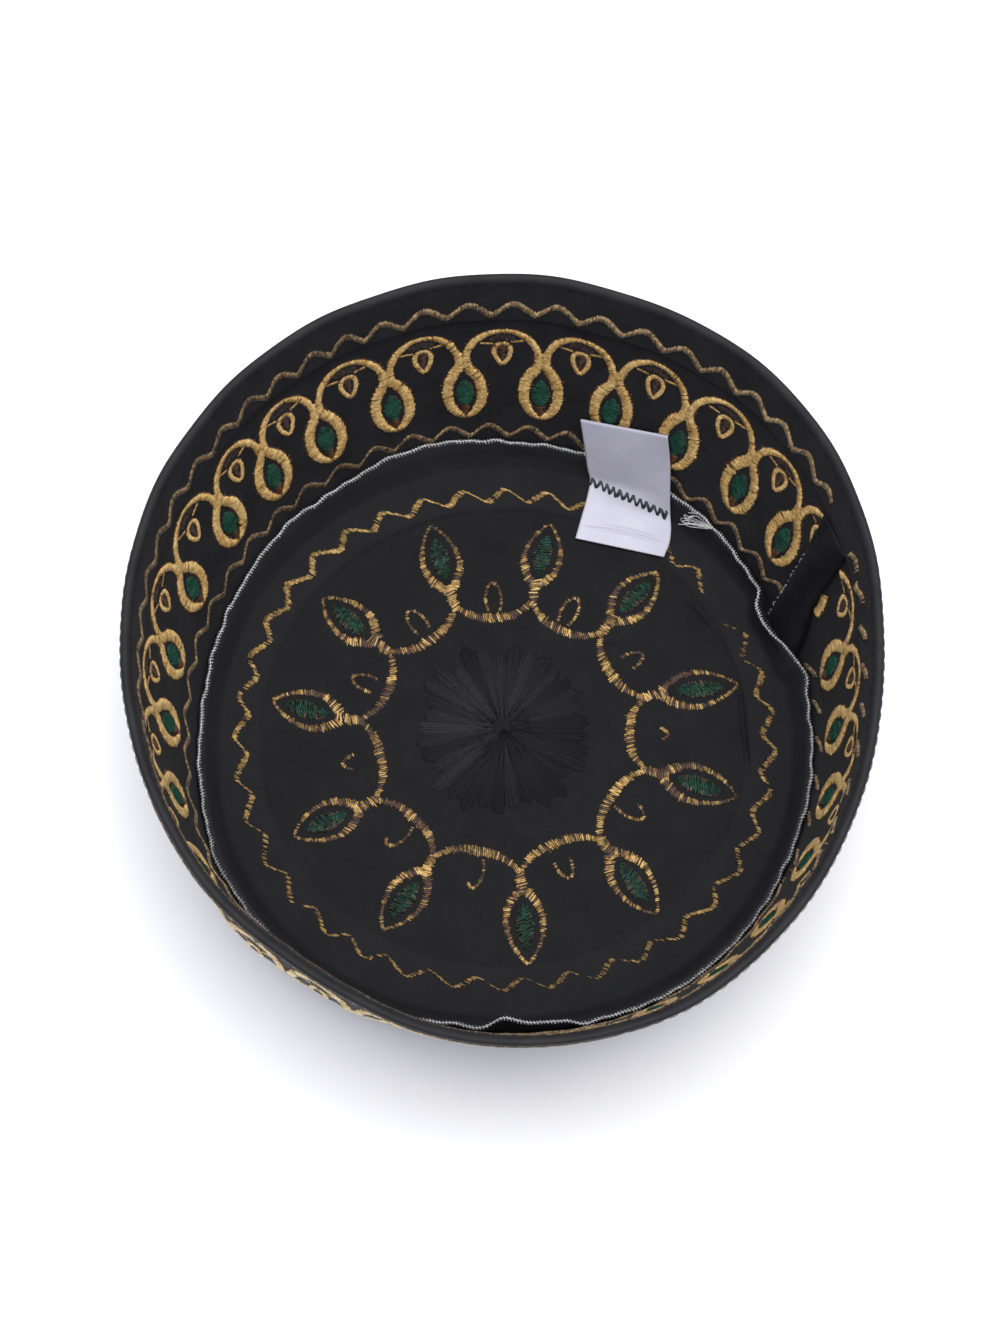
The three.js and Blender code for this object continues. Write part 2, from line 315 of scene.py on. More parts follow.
    def inside_wall(self, along: Array, down: Array, lift: Array) -> Array:
        """Places a point of flat needlework on the wall's inner face, or on the hem's.

        Args:
            along: Distances along the band, true at the pattern's radius.
            down: Distances down the wall from the rim.
            lift: Heights above the cloth.

        Returns:
            Points in the row frame.
        """
        angle = np.degrees(np.asarray(along) / self.pattern_radius)
        on_hem = 1 - eased(down, self.hem_width - self.hem_step, self.hem_width + self.hem_step)
        depth = self.band_thickness + (self.hem_depth - self.band_thickness) * on_hem + lift
        return self.wall(angle, self.height_at(down), depth)

    def outside_wall(self, along: Array, down: Array, lift: Array) -> Array:
        """Places flat needlework on the wall's outer face, as inside_wall does inside."""
        angle = np.degrees(np.asarray(along) / self.pattern_radius)
        return self.wall(angle, self.height_at(down), -np.asarray(lift))

    def crown_height(self, angle: Array, radius: Array) -> Array:
        """Gives the height of the crown's inner face.

        Args:
            angle: Angles in degrees.
            radius: Distances from the crown's centre.

        Returns:
            Heights above the floor.
        """
        reach = np.asarray(radius) / self.seam.at(angle)
        dish = eased(reach, self.crown_flat, self.crown_edge) ** self.crown_curve
        return self.crown_top + self.crown_dish * dish

    def inside_crown(self, across: Array, up: Array, lift: Array) -> Array:
        """Places flat needlework on the crown's inner face, across and up from the crown's centre."""
        angle, radius = np.degrees(np.arctan2(up, across)), np.hypot(across, up)
        return self.point(angle, radius, self.crown_height(angle, radius) + lift)

    def outside_crown(self, across: Array, up: Array, lift: Array) -> Array:
        """Places flat needlework on the crown's outer face, as inside_crown does inside."""
        return self.inside_crown(across, up, self.crown_floor - self.crown_top - lift)


def add_node(
    tree: NodeTree, kind: str, settings: Optional[dict] = None, links: Optional[dict] = None
) -> Node:
    """Adds a node with its settings and links.

    Args:
        tree: The tree that takes the node.
        kind: The node's type name.
        settings: Values by the name of a property, or by the name or number of an input.
        links: The output to join to each input, by the input's name or number.

    Returns:
        The new node.
    """
    made = tree.nodes.new(kind)
    for key, value in (settings or {}).items():
        if isinstance(key, int) or key in made.inputs:
            made.inputs[key].default_value = value
        else:
            setattr(made, key, value)
    for key, source in (links or {}).items():
        tree.links.new(source, made.inputs[key])
    return made


def new_material(name: str) -> tuple[Material, NodeTree]:
    """Starts a material with an empty node tree.

    Args:
        name: The material's name.

    Returns:
        The material and its tree.
    """
    material = bpy.data.materials.new(name)
    material.use_nodes = True
    material.node_tree.nodes.clear()
    return material, material.node_tree


def close_material(tree: NodeTree, shader: dict, links: dict) -> None:
    """Ends a material with a principled shader, its values and links, and the output."""
    principled = add_node(tree, "ShaderNodeBsdfPrincipled", shader, links)
    add_node(tree, "ShaderNodeOutputMaterial", {}, {"Surface": principled.outputs[0]})


@dataclass(frozen=True)
class WovenSatin:
    """Polyester satin: long floats of smooth filament, so a soft broad sheen over a deep colour.

    A second, paler colour is mixed in by the mesh's shade: a little for cloth with no interfacing behind it,
    which lies looser, and mostly as painted light where the cloth stands up.
    """

    name: str
    dark: str
    light: str
    bare_and_painted_light: Optional[str] = None
    roughness: float = 0.55
    roughness_spread: float = 0.09
    sheen: float = 0.03
    gloss: float = 0.13
    thread_mm: float = 0.45
    float_turn: float = 27.0
    float_stretch: float = 0.35
    mottle_mm: float = 9.0
    crinkle_mm: float = 2.6
    weave_bump_mm: float = 0.03
    crinkle_bump_mm: float = 0.12

    def material(self) -> Material:
        """Makes the material. The real floats are 0.1 mm wide and are drawn coarser, so that they show.

        Returns:
            The material.
        """
        material, tree = new_material(self.name)
        place = add_node(tree, "ShaderNodeUVMap", {"uv_map": CLOTH_UV})
        lie = {"Rotation": (0.0, 0.0, np.radians(self.float_turn)), "Scale": (1.0, self.float_stretch, 1.0)}
        turned = add_node(tree, "ShaderNodeMapping", lie, {"Vector": place.outputs[0]})
        floats, crinkle, mottle = (
            add_node(
                tree,
                "ShaderNodeTexNoise",
                {"Scale": 1 / (size * MM), "Detail": detail, "Roughness": mix},
                {"Vector": source.outputs[0]},
            ).outputs[0]
            for size, detail, mix, source in (
                (self.thread_mm, 2.0, 0.6, turned),
                (self.crinkle_mm, 3.0, 0.55, place),
                (self.mottle_mm, 4.0, 0.6, place),
            )
        )
        spread = add_node(tree, "ShaderNodeMapRange", {"From Min": 0.3, "From Max": 0.72}, {"Value": mottle})
        shades = {"data_type": "RGBA", 6: linear(self.dark), 7: linear(self.light)}
        base = add_node(tree, "ShaderNodeMix", shades, {0: spread.outputs[0]}).outputs[2]
        # Mixes towards the paler colour: a little for bare cloth, mostly painted light on cloth that stands
        # up.
        if self.bare_and_painted_light:
            share = add_node(tree, "ShaderNodeAttribute", {"attribute_name": SHADE})
            paler = {"data_type": "RGBA", 7: linear(self.bare_and_painted_light)}
            base = add_node(tree, "ShaderNodeMix", paler, {0: share.outputs["Fac"], 6: base}).outputs[2]
        low, high = self.roughness - self.roughness_spread, self.roughness + self.roughness_spread
        rough = add_node(tree, "ShaderNodeMapRange", {"To Min": low, "To Max": high}, {"Value": floats})
        normal = {}
        bumps = ((floats, 0.5, self.weave_bump_mm), (crinkle, 0.6, self.crinkle_bump_mm))
        for height, strength, depth in bumps:
            settings = {"Strength": strength, "Distance": depth * MM}
            bump = add_node(tree, "ShaderNodeBump", settings, {"Height": height, **normal})
            normal = {"Normal": bump.outputs[0]}
        close_material(
            tree,
            {"Sheen Weight": self.sheen, "Sheen Roughness": 0.45, "Specular IOR Level": self.gloss},
            {"Base Color": base, "Roughness": rough.outputs[0], **normal},
        )
        return material


@dataclass(frozen=True)
class SpunThread:
    """Twisted embroidery or sewing thread, with a painted highlight on its back and painted shade where it
    dives into the cloth.
    """

    name: str
    deep: str
    middle: str
    bright: str
    roughness: float = 0.45
    sheen: float = 0.1
    gloss: float = 0.6
    fleck_mm: float = 0.8
    fleck_share: float = 0.3
    twist_mm: float = 0.25
    twist_bump_mm: float = 0.05

    def material(self) -> Material:
        """Makes the material, which reads each stitch's own shade from its mesh.

        Returns:
            The material.
        """
        material, tree = new_material(self.name)
        place = add_node(tree, "ShaderNodeTexCoord")
        shade = add_node(tree, "ShaderNodeAttribute", {"attribute_name": SHADE})
        fleck, twist = (
            add_node(
                tree,
                "ShaderNodeTexNoise",
                {"Scale": 1 / (size * MM), "Detail": detail},
                {"Vector": place.outputs["Object"]},
            ).outputs[0]
            for size, detail in ((self.fleck_mm, 2.0), (self.twist_mm, 1.0))
        )
        reach = {"From Min": 0.3, "From Max": 0.7, "To Min": -self.fleck_share, "To Max": self.fleck_share}
        shift = add_node(tree, "ShaderNodeMapRange", reach, {"Value": fleck})
        total = add_node(
            tree,
            "ShaderNodeMath",
            {"operation": "ADD", "use_clamp": True},
            {0: shade.outputs["Fac"], 1: shift.outputs[0]},
        )
        ramp = add_node(tree, "ShaderNodeValToRGB", {}, {0: total.outputs[0]})
        stops = ramp.color_ramp.elements
        stops[0].color, stops[1].color = linear(self.deep), linear(self.bright)
        stops.new(0.45).color = linear(self.middle)
        relief = {"Strength": 0.6, "Distance": self.twist_bump_mm * MM}
        bump = add_node(tree, "ShaderNodeBump", relief, {"Height": twist})
        surface = {"Roughness": self.roughness, "Specular IOR Level": self.gloss}
        surface |= {"Sheen Weight": self.sheen, "Sheen Roughness": 0.4}
        close_material(tree, surface, {"Base Color": ramp.outputs[0], "Normal": bump.outputs[0]})
        return material


@dataclass(frozen=True)
class BackdropPaper:
    """Matt photographic backdrop paper, so a pale even ground with no gloss."""

    name: str = "matt_backdrop_paper"
    light: str = "#f7f7f6"
    dark: str = "#f1f1f0"
    cloud_mm: float = 220.0

    def material(self) -> Material:
        """Makes the material.

        Returns:
            The material.
        """
        material, tree = new_material(self.name)
        place = add_node(tree, "ShaderNodeTexCoord")
        clouds = {"Scale": 1 / (self.cloud_mm * MM), "Detail": 2.0}
        cloud = add_node(tree, "ShaderNodeTexNoise", clouds, {"Vector": place.outputs["Object"]})
        shades = {"data_type": "RGBA", 6: linear(self.dark), 7: linear(self.light)}
        colour = add_node(tree, "ShaderNodeMix", shades, {0: cloud.outputs[0]})
        matt = {"Roughness": 0.95, "Specular IOR Level": 0.1}
        close_material(tree, matt, {"Base Color": colour.outputs[2]})
        return material


# The band's black satin is painted paler than the crown's, as painted light on the walls, so it greys a
# little.
BAND_SATIN = WovenSatin(name="stiffened_black_satin_painted_pale", dark="#1d1c1d", light="#282728")
# The crown's black satin is painted darker than the band's, as painted shade on the floor of the cap, and
# interfacing takes up some of its gloss. It is paler past the interfacing, and painted paler still where its
# raw edge stands up, as painted light.
CROWN_SATIN = WovenSatin(
    name="interfaced_black_satin_painted_dark", dark="#0c0c0d", light="#131314", bare_and_painted_light="#2d2d30", gloss=0.08
)
# Folded satin shows its dense edge, so it is a near black with a cool tinge.
EDGE_SATIN = WovenSatin(name="black_satin_fold", dark="#0f0f11", light="#18181b")
# Ribbon has finer floats under more tension, so a cool white with a clear soft gloss.
RIBBON_SATIN = WovenSatin(
    name="white_satin_ribbon",
    dark="#aaa8b4",
    light="#b6b4be",
    roughness=0.4,
    sheen=0.02,
    gloss=0.5,
    thread_mm=0.35,
    crinkle_bump_mm=0.05,
)
# Rayon filament in tight rows: a warm gold whose glint on each thread's back is partly its gloss and partly
# painted highlight.
GOLD_THREAD = SpunThread(
    name="gold_rayon_thread", deep="#3a260e", middle="#ba904c", bright="#f2d08c", sheen=0.05, gloss=0.45
)
# Rubbed rayon has lost its smooth back, so it is browner and shines less; it is also painted darker than the
# band's gold, as painted shade on the floor of the cap.
WORN_AND_SHADED_THREAD = SpunThread(
    name="worn_and_shaded_gold_rayon_thread", deep="#2c1b0c", middle="#957640", bright="#dab772", sheen=0.05, gloss=0.35
)
# The right side of the work is glossier, and its gold is painted pale, as painted highlight.
BRIGHT_THREAD = SpunThread(
    name="bright_gold_rayon_thread", deep="#4a3417", middle="#cdae70", bright="#fbe8ba", sheen=0.15, gloss=0.7
)
# Loosely laid old rayon lets the cloth through, so the borders are a dull brownish gold.
DULL_THREAD = SpunThread(name="old_gold_rayon_thread", deep="#2a1c12", middle="#7d6442", bright="#c4a878")
# Dark dye hides most of the filament's gloss, so a bottle green with faint paler rows.
GREEN_THREAD = SpunThread(
    name="green_rayon_thread", deep="#0b1510", middle="#1c4033", bright="#2b604a", sheen=0.0, gloss=0.2
)
# Bobbin thread lies under the gold and is seen as its brown rim and its gaps.
BROWN_THREAD = SpunThread(name="brown_bobbin_thread", deep="#140c06", middle="#44260f", bright="#69401f")
# Black filament on black cloth is told apart only by its faint silky rays.
BLACK_THREAD = SpunThread(
    name="black_rayon_thread",
    deep="#0b0b0c",
    middle="#111112",
    bright="#242429",
    roughness=0.55,
    sheen=0.03,
    gloss=0.1,
    fleck_share=0.12,
)
# Sewing thread is thin and matt, so a fine blue black line on the ribbon.
NAVY_THREAD = SpunThread(name="navy_sewing_thread", deep="#0d0d18", middle="#1b1b2c", bright="#33334a")
# Short spun fibres scatter the light, so a soft white with grey turns and no glint.
WHITE_THREAD = SpunThread(name="white_spun_polyester", deep="#4a4a4a", middle="#8f8f8d", bright="#c8c8c5")
# The same yarn in mid grey, so a soft dotted line on the dark flap.
GREY_THREAD = SpunThread(name="grey_spun_polyester", deep="#38383c", middle="#6c6c74", bright="#9c9ca6")


def add_mesh(
    name: str,
    points: Array,
    faces: Sequence[Array],
    finish: Material,
    texture: Optional[Array] = None,
    shade: Optional[Array] = None,
    smooth: bool = True,
) -> Object:
    """Makes a closed mesh object, with its faces turned outward.

    Args:
        name: The piece's name.
        points: Its points, in millimetres, in a list or a grid.
        faces: Arrays of corner numbers, one array for each number of corners.
        finish: Its material.
        texture: A texture place for each point, in millimetres.
        shade: How bright the thread is at each point.
        smooth: Whether light runs on over the edges of its faces.

    Returns:
        The new object, in the scene.
    """
    points = points.reshape(-1, 3)
    volume = 0.0
    for group in faces:
        first = points[group[:, 0]]
        for corner in range(1, group.shape[1] - 1):
            crossed = np.cross(points[group[:, corner]], points[group[:, corner + 1]])
            volume += float((first * crossed).sum())
    turned = [group if volume > 0 else group[:, ::-1] for group in faces]
    loops = np.concatenate([group.ravel() for group in turned])
    sizes = np.concatenate([np.full(len(group), group.shape[1]) for group in turned])
    mesh = bpy.data.meshes.new(name)
    mesh.vertices.add(len(points))
    mesh.vertices.foreach_set("co", (points * MM).astype(np.float32).ravel())
    mesh.loops.add(len(loops))
    mesh.loops.foreach_set("vertex_index", loops.astype(np.int32))
    mesh.polygons.add(len(sizes))
    mesh.polygons.foreach_set("loop_start", np.concatenate([[0], np.cumsum(sizes)[:-1]]).astype(np.int32))
    mesh.update(calc_edges=True)
    if smooth:
        mesh.shade_smooth()
    if texture is not None:
        layer = mesh.uv_layers.new(name=CLOTH_UV)
        layer.data.foreach_set("uv", (texture.reshape(-1, 2)[loops] * MM).astype(np.float32).ravel())
    if shade is not None:
        values = mesh.attributes.new(SHADE, "FLOAT", "POINT")
        values.data.foreach_set("value", shade.astype(np.float32))
    mesh.materials.append(finish)
    made = bpy.data.objects.new(name, mesh)
    bpy.context.scene.collection.objects.link(made)
    return made


def dress(piece: Object, stands_for: Sequence[str] = ()) -> None:
    """Fastens a finished piece to the cap and reports it.

    Args:
        piece: The finished piece.
        stands_for: The plain solids that it replaces.
    """
    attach(piece, "root")
    if stands_for:
        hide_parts(*stands_for)
    LOG.info("%s: %d faces", piece.name, len(piece.data.polygons))


def grid_faces(rows: int, columns: int, closed_rows: bool, closed_columns: bool) -> Array:
    """Joins a grid of points with four-cornered faces.

    Args:
        rows: Number of rows.
        columns: Number of columns.
        closed_rows: Whether the last row joins the first.
        closed_columns: Whether the last column joins the first.

    Returns:
        Corner numbers, one row for each face.
    """
    row, column = np.meshgrid(
        np.arange(rows if closed_rows else rows - 1),
        np.arange(columns if closed_columns else columns - 1),
        indexing="ij",
    )
    next_row, next_column = (row + 1) % rows, (column + 1) % columns
    corners = (row, column), (next_row, column), (next_row, next_column), (row, next_column)
    return np.stack([(down * columns + over).ravel() for down, over in corners], axis=-1)


@dataclass
class Stitches:
    """Straight stitches on flat cloth, gathered before they are laid on the cap."""

    starts: Array
    ends: Array
    widths: Array
    lifts: Array
    shades: Array

    @classmethod
    def join(cls, groups: Sequence["Stitches"]) -> "Stitches":
        """Joins groups of stitches into one."""
        names = ("starts", "ends", "widths", "lifts", "shades")
        return cls(*(np.concatenate([getattr(group, name) for group in groups]) for name in names))

    def kept(self, mask: Array) -> "Stitches":
        """Keeps the stitches for which the mask is true."""
        return Stitches(*(a[mask] for a in (self.starts, self.ends, self.widths, self.lifts, self.shades)))

    def laid(
        self, name: str, surface: Surface, finish: Material, stations: Sequence[float] = (0.12, 0.88)
    ) -> Object:
        """Makes one mesh of all the stitches, each a closed thread that dives into the cloth at its ends.

        Args:
            name: The piece's name.
            surface: Places flat points on the cap.
            finish: The thread's material.
            stations: Where along a stitch its thread has a section.

        Returns:
            The new object.
        """
        run = self.ends - self.starts
        length = np.maximum(np.linalg.norm(run, axis=1, keepdims=True), 1e-6)
        side = np.stack([-run[:, 1], run[:, 0]], axis=-1) / length * self.widths[:, None] / 2
        dive = np.full(len(run), -0.12)
        # Painted shade: each thread is darker at its sides and far darker at its ends, where it dives into
        # the cloth, so its raised middle reads as a painted highlight.
        painted_end_shade, painted_side_shade = self.shades * 0.25, self.shades * 0.6
        flat, lifts, shades = [self.starts], [dive], [painted_end_shade]
        for share in stations:
            middle = self.starts + run * share
            arch = self.lifts * (0.62 + 0.38 * np.sin(np.pi * share))
            side_lift = arch * 0.1
            flat += [middle, middle + side, middle - side]
            lifts += [arch, side_lift, side_lift]
            shades += [self.shades, painted_side_shade, painted_side_shade]
        flat.append(self.ends)
        lifts.append(dive)
        shades.append(painted_end_shade)
        flat_points = np.stack(flat, axis=1).reshape(-1, 2)
        size = 2 + 3 * len(stations)
        points = surface(flat_points[:, 0], flat_points[:, 1], np.stack(lifts, axis=1).ravel())
        last = size - 1
        pattern = [(0, 2, 1), (0, 1, 3), (0, 3, 2)]
        for station in range(len(stations) - 1):
            top, left, right = (1 + 3 * station + i for i in range(3))
            for a, b in ((top, left), (left, right), (right, top)):
                pattern += [(a, b, b + 3), (a, b + 3, a + 3)]
        top, left, right = (last - 3 + i for i in range(3))
        pattern += [(last, top, left), (last, right, top), (last, left, right)]
        faces = (np.arange(len(run))[:, None, None] * size + np.array(pattern)[None]).reshape(-1, 3)
        return add_mesh(name, points, [faces], finish, shade=np.stack(shades, axis=1).ravel())


Groups = dict[str, list[Stitches]]


@dataclass(frozen=True)
class Needle:
    """How evenly a machine laid a satin column: its thread, spacing, ragged ends and missed stitches."""

    seed: int
    pitch: float = 0.4
    thread: float = 0.5
    lift: float = 0.42
    uneven: float = 0.4
    ragged: float = 0.1
    missed: float = 0.0
    dark: float = 0.06
    patchy: float = 0.25
    patch: float = 1.6
    slant: float = 12.0
    scatter: float = 5.0
    dimmed: float = 0.35
    full_width: float = 1.6
    ahead: float = 0.3

    def patches(self, along: Array, rng: np.random.Generator) -> Array:
        """Gives slow changes of brightness along a column, where the thread lies flat or is worn."""
        knots = np.arange(0.0, along[-1] + 2 * self.patch, self.patch)
        return 1.0 - self.patchy * np.interp(along, knots, rng.random(len(knots)))

    def satin(
        self,
        path: Array,
        widths: Array | Sequence[float] | float,
        wear: Array | float = 0.0,
        toward: Optional[Array] = None,
        tone: Array | float = 1.0,
    ) -> Stitches:
        """Fills a column with stitches from side to side.

        Args:
            path: The column's middle line, on flat cloth.
            widths: The column's width, or one width for each point of the path.
            wear: Share of missing stitches, or one share for each point of the path.
            toward: A fixed direction of the stitches, or one for each point of the path.
            tone: How bright the thread is, or how bright at each point of the path.

        Returns:
            The stitches.
        """
        rng = np.random.default_rng(self.seed + int(abs(path[0, 0] * 131 + path[-1, 1] * 17)))
        along = travelled(path)
        count = max(2, int(along[-1] / self.pitch))
        wanted = (np.arange(count) + 0.5) * along[-1] / count
        middle = resampled(path, along, wanted)
        width = np.interp(wanted, along, np.broadcast_to(widths, along.shape))
        if toward is None:
            before = resampled(path, along, wanted - self.ahead)
            run = resampled(path, along, wanted + self.ahead) - before
            direction = np.stack([-run[:, 1], run[:, 0]], axis=-1)
        else:
            direction = resampled(np.broadcast_to(toward, path.shape), along, wanted)
        direction = direction / np.maximum(np.linalg.norm(direction, axis=1, keepdims=True), 1e-6)
        turn = np.radians(rng.normal(self.slant if toward is None else 0.0, self.scatter, count))
        across = np.stack(
            [
                direction[:, 0] * np.cos(turn) - direction[:, 1] * np.sin(turn),
                direction[:, 0] * np.sin(turn) + direction[:, 1] * np.cos(turn),
            ],
            axis=-1,
        )
        half = width[:, None] / 2
        starts = middle - across * half * (1 + self.ragged * rng.normal(0, 1, (count, 1)))
        ends = middle + across * half * (1 + self.ragged * rng.normal(0, 1, (count, 1)))
        bright = np.interp(wanted, along, np.broadcast_to(tone, along.shape))
        shades = rng.uniform(1 - self.uneven, 1.0, count) * self.patches(wanted, rng) * bright
        shades[rng.random(count) < self.dark] *= self.dimmed
        loose = rng.uniform(-0.4, 0.4, count) * self.uneven
        lifts = self.lift * np.clip(width / self.full_width, 0.55, 1.25) * (1 + loose)
        made = Stitches(starts, ends, self.thread * rng.uniform(0.85, 1.2, count), lifts, shades)
        lost = np.interp(wanted, along, np.broadcast_to(wear, along.shape)) + self.missed
        return made.kept(rng.random(count) >= lost)

    def running(self, path: Array, stitch: float, space: float) -> Stitches:
        """Sews along a line with a gap after each stitch.

        Args:
            path: The line, on flat cloth.
            stitch: Length of a stitch.
            space: Length of a gap.

        Returns:
            The stitches.
        """
        rng = np.random.default_rng(self.seed)
        along = travelled(path)
        starts = np.arange(0.0, along[-1] - stitch, stitch + space)
        starts = starts + rng.normal(0, 0.05, len(starts))
        ends = starts + stitch * rng.uniform(0.93, 1.05, len(starts))
        size = len(starts)
        shades = rng.uniform(0.5, 1, size)
        lifts, threads = np.full(size, self.lift), np.full(size, self.thread)
        starts, ends = resampled(path, along, starts), resampled(path, along, ends)
        return Stitches(starts, ends, threads, lifts, shades)


@dataclass(frozen=True)
class Thread:
    """A round thread that follows a line through the air or over cloth."""

    radius: float
    sides: int = 5

    def tube(self, paths: Sequence[Array]) -> tuple[Array, list[Array], Array]:
        """Wraps closed tubes round lines.

        Args:
            paths: Lines of points in the row frame.

        Returns:
            Points, faces and shades for add_mesh.
        """
        rng = np.random.default_rng(5)
        points, quads, caps, shades = [], [], [], []
        offset = 0
        turn = np.linspace(0, 2 * np.pi, self.sides, endpoint=False)
        for path in paths:
            run = np.gradient(path, axis=0)
            run /= np.maximum(np.linalg.norm(run, axis=1, keepdims=True), 1e-9)
            up = np.where(np.abs(run[:, 2:3]) < 0.9, [[0.0, 0.0, 1.0]], [[1.0, 0.0, 0.0]])
            side = np.cross(run, up)
            side /= np.linalg.norm(side, axis=1, keepdims=True)
            over = np.cross(side, run)
            ring = np.cos(turn)[None, :, None] * side[:, None] + np.sin(turn)[None, :, None] * over[:, None]
            points.append((path[:, None] + ring * self.radius).reshape(-1, 3))
            quads.append(grid_faces(len(path), self.sides, False, True) + offset)
            last = offset + (len(path) - 1) * self.sides
            caps += [offset + np.arange(self.sides), last + np.arange(self.sides)[::-1]]
            shades.append(np.repeat(rng.uniform(0.5, 1.0, len(path)), self.sides))
            offset += len(path) * self.sides
        faces = [np.vstack(quads)[:, ::-1], np.stack(caps)[:, ::-1]]
        return np.vstack(points), faces, np.concatenate(shades)


@dataclass(frozen=True)
class SideWall:
    """The stiffened side band, whose cloth rolls over the rim and comes down inside as the hem."""

    form: CapForm
    turns: int = 520
    roll_height: float = 1.3
    hem_edge: float = 0.3
    pinch: float = 0.12
    pinch_reach: float = 0.7
    stitch_down: float = 1.5
    ditch: float = 0.5
    ditch_width: float = 0.45
    outside_rows: int = 46
    hem_rows: int = 14
    inside_rows: int = 40
    hem_gap: float = 0.3
    pocket: Triple = (0.5, 1.3, 0.9)
    foot_rise: float = 0.2
    foot_drop: float = 0.1

    @staticmethod
    def stretch(start: float, end: float, rows: int, depth: float) -> Array:
        """Gives a straight stretch of the section at one depth, from one height to another."""
        return np.stack([np.linspace(start, end, rows), np.full(rows, depth)], axis=-1)

    def section(self) -> Array:
        """Traces the cloth's section from the seam up the outside, over the rim and back down.

        Behind the hem's folded edge the section runs up into a narrow pocket.

        Returns:
            Rows of height and depth.
        """
        form = self.form
        thick, shoulder = form.band_thickness, form.rim_height - self.roll_height
        foot, hem_foot = form.seam_height, form.rim_height - form.hem_width
        half = form.hem_depth / 2
        turn = np.linspace(0, np.pi, 13)[1:-1]
        outside = self.stretch(foot, shoulder, self.outside_rows, 0.0)
        roll = np.stack([shoulder + self.roll_height * np.sin(turn), half - half * np.cos(turn)], axis=-1)
        hem = self.stretch(shoulder, hem_foot + self.hem_edge, self.hem_rows, form.hem_depth)
        back = thick + self.hem_gap
        fold_half = (form.hem_depth - back) / 2
        fold = np.stack(
            [
                hem_foot + self.hem_edge - self.hem_edge * np.sin(turn),
                form.hem_depth - fold_half + fold_half * np.cos(turn),
            ],
            axis=-1,
        )
        low, high, mouth = (hem_foot + level for level in self.pocket)
        pocket = np.array([[low, back], [high, back], [high, thick]])
        inside = self.stretch(mouth, foot + self.foot_rise, self.inside_rows, thick)
        end = [[foot - self.foot_drop, thick / 2]]
        return np.vstack([outside, roll, hem, fold, pocket, inside, end])

    def build(self, finish: Material) -> None:
        """Builds the cloth.

        Args:
            finish: Its material.
        """
        form = self.form
        rows = self.section()
        height, depth = rows[:, 0], rows[:, 1]
        angle = np.linspace(0, 360, self.turns, endpoint=False)[:, None]
        line = form.rim_height - self.stitch_down
        squeeze = self.pinch * np.exp(-(((height - line) / self.pinch_reach) ** 2))
        squeezed = depth + np.where(depth < form.hem_depth / 2, squeeze, -squeeze)
        off = (angle - form.closing_angle) / np.degrees(self.ditch_width / form.pattern_radius)
        groove = self.ditch * np.exp(-(off**2)) * (depth < 0.1)[None]
        points = form.wall(angle, height[None], squeezed[None] + groove)
        along = np.radians(angle) * form.pattern_radius
        texture = np.stack(np.broadcast_arrays(along, travelled(rows)[None]), axis=-1)
        faces = [grid_faces(self.turns, len(rows), True, True)]
        piece = add_mesh("side_wall", points, faces, finish, texture)
        dress(piece, ("side_band", "rim_hem"))


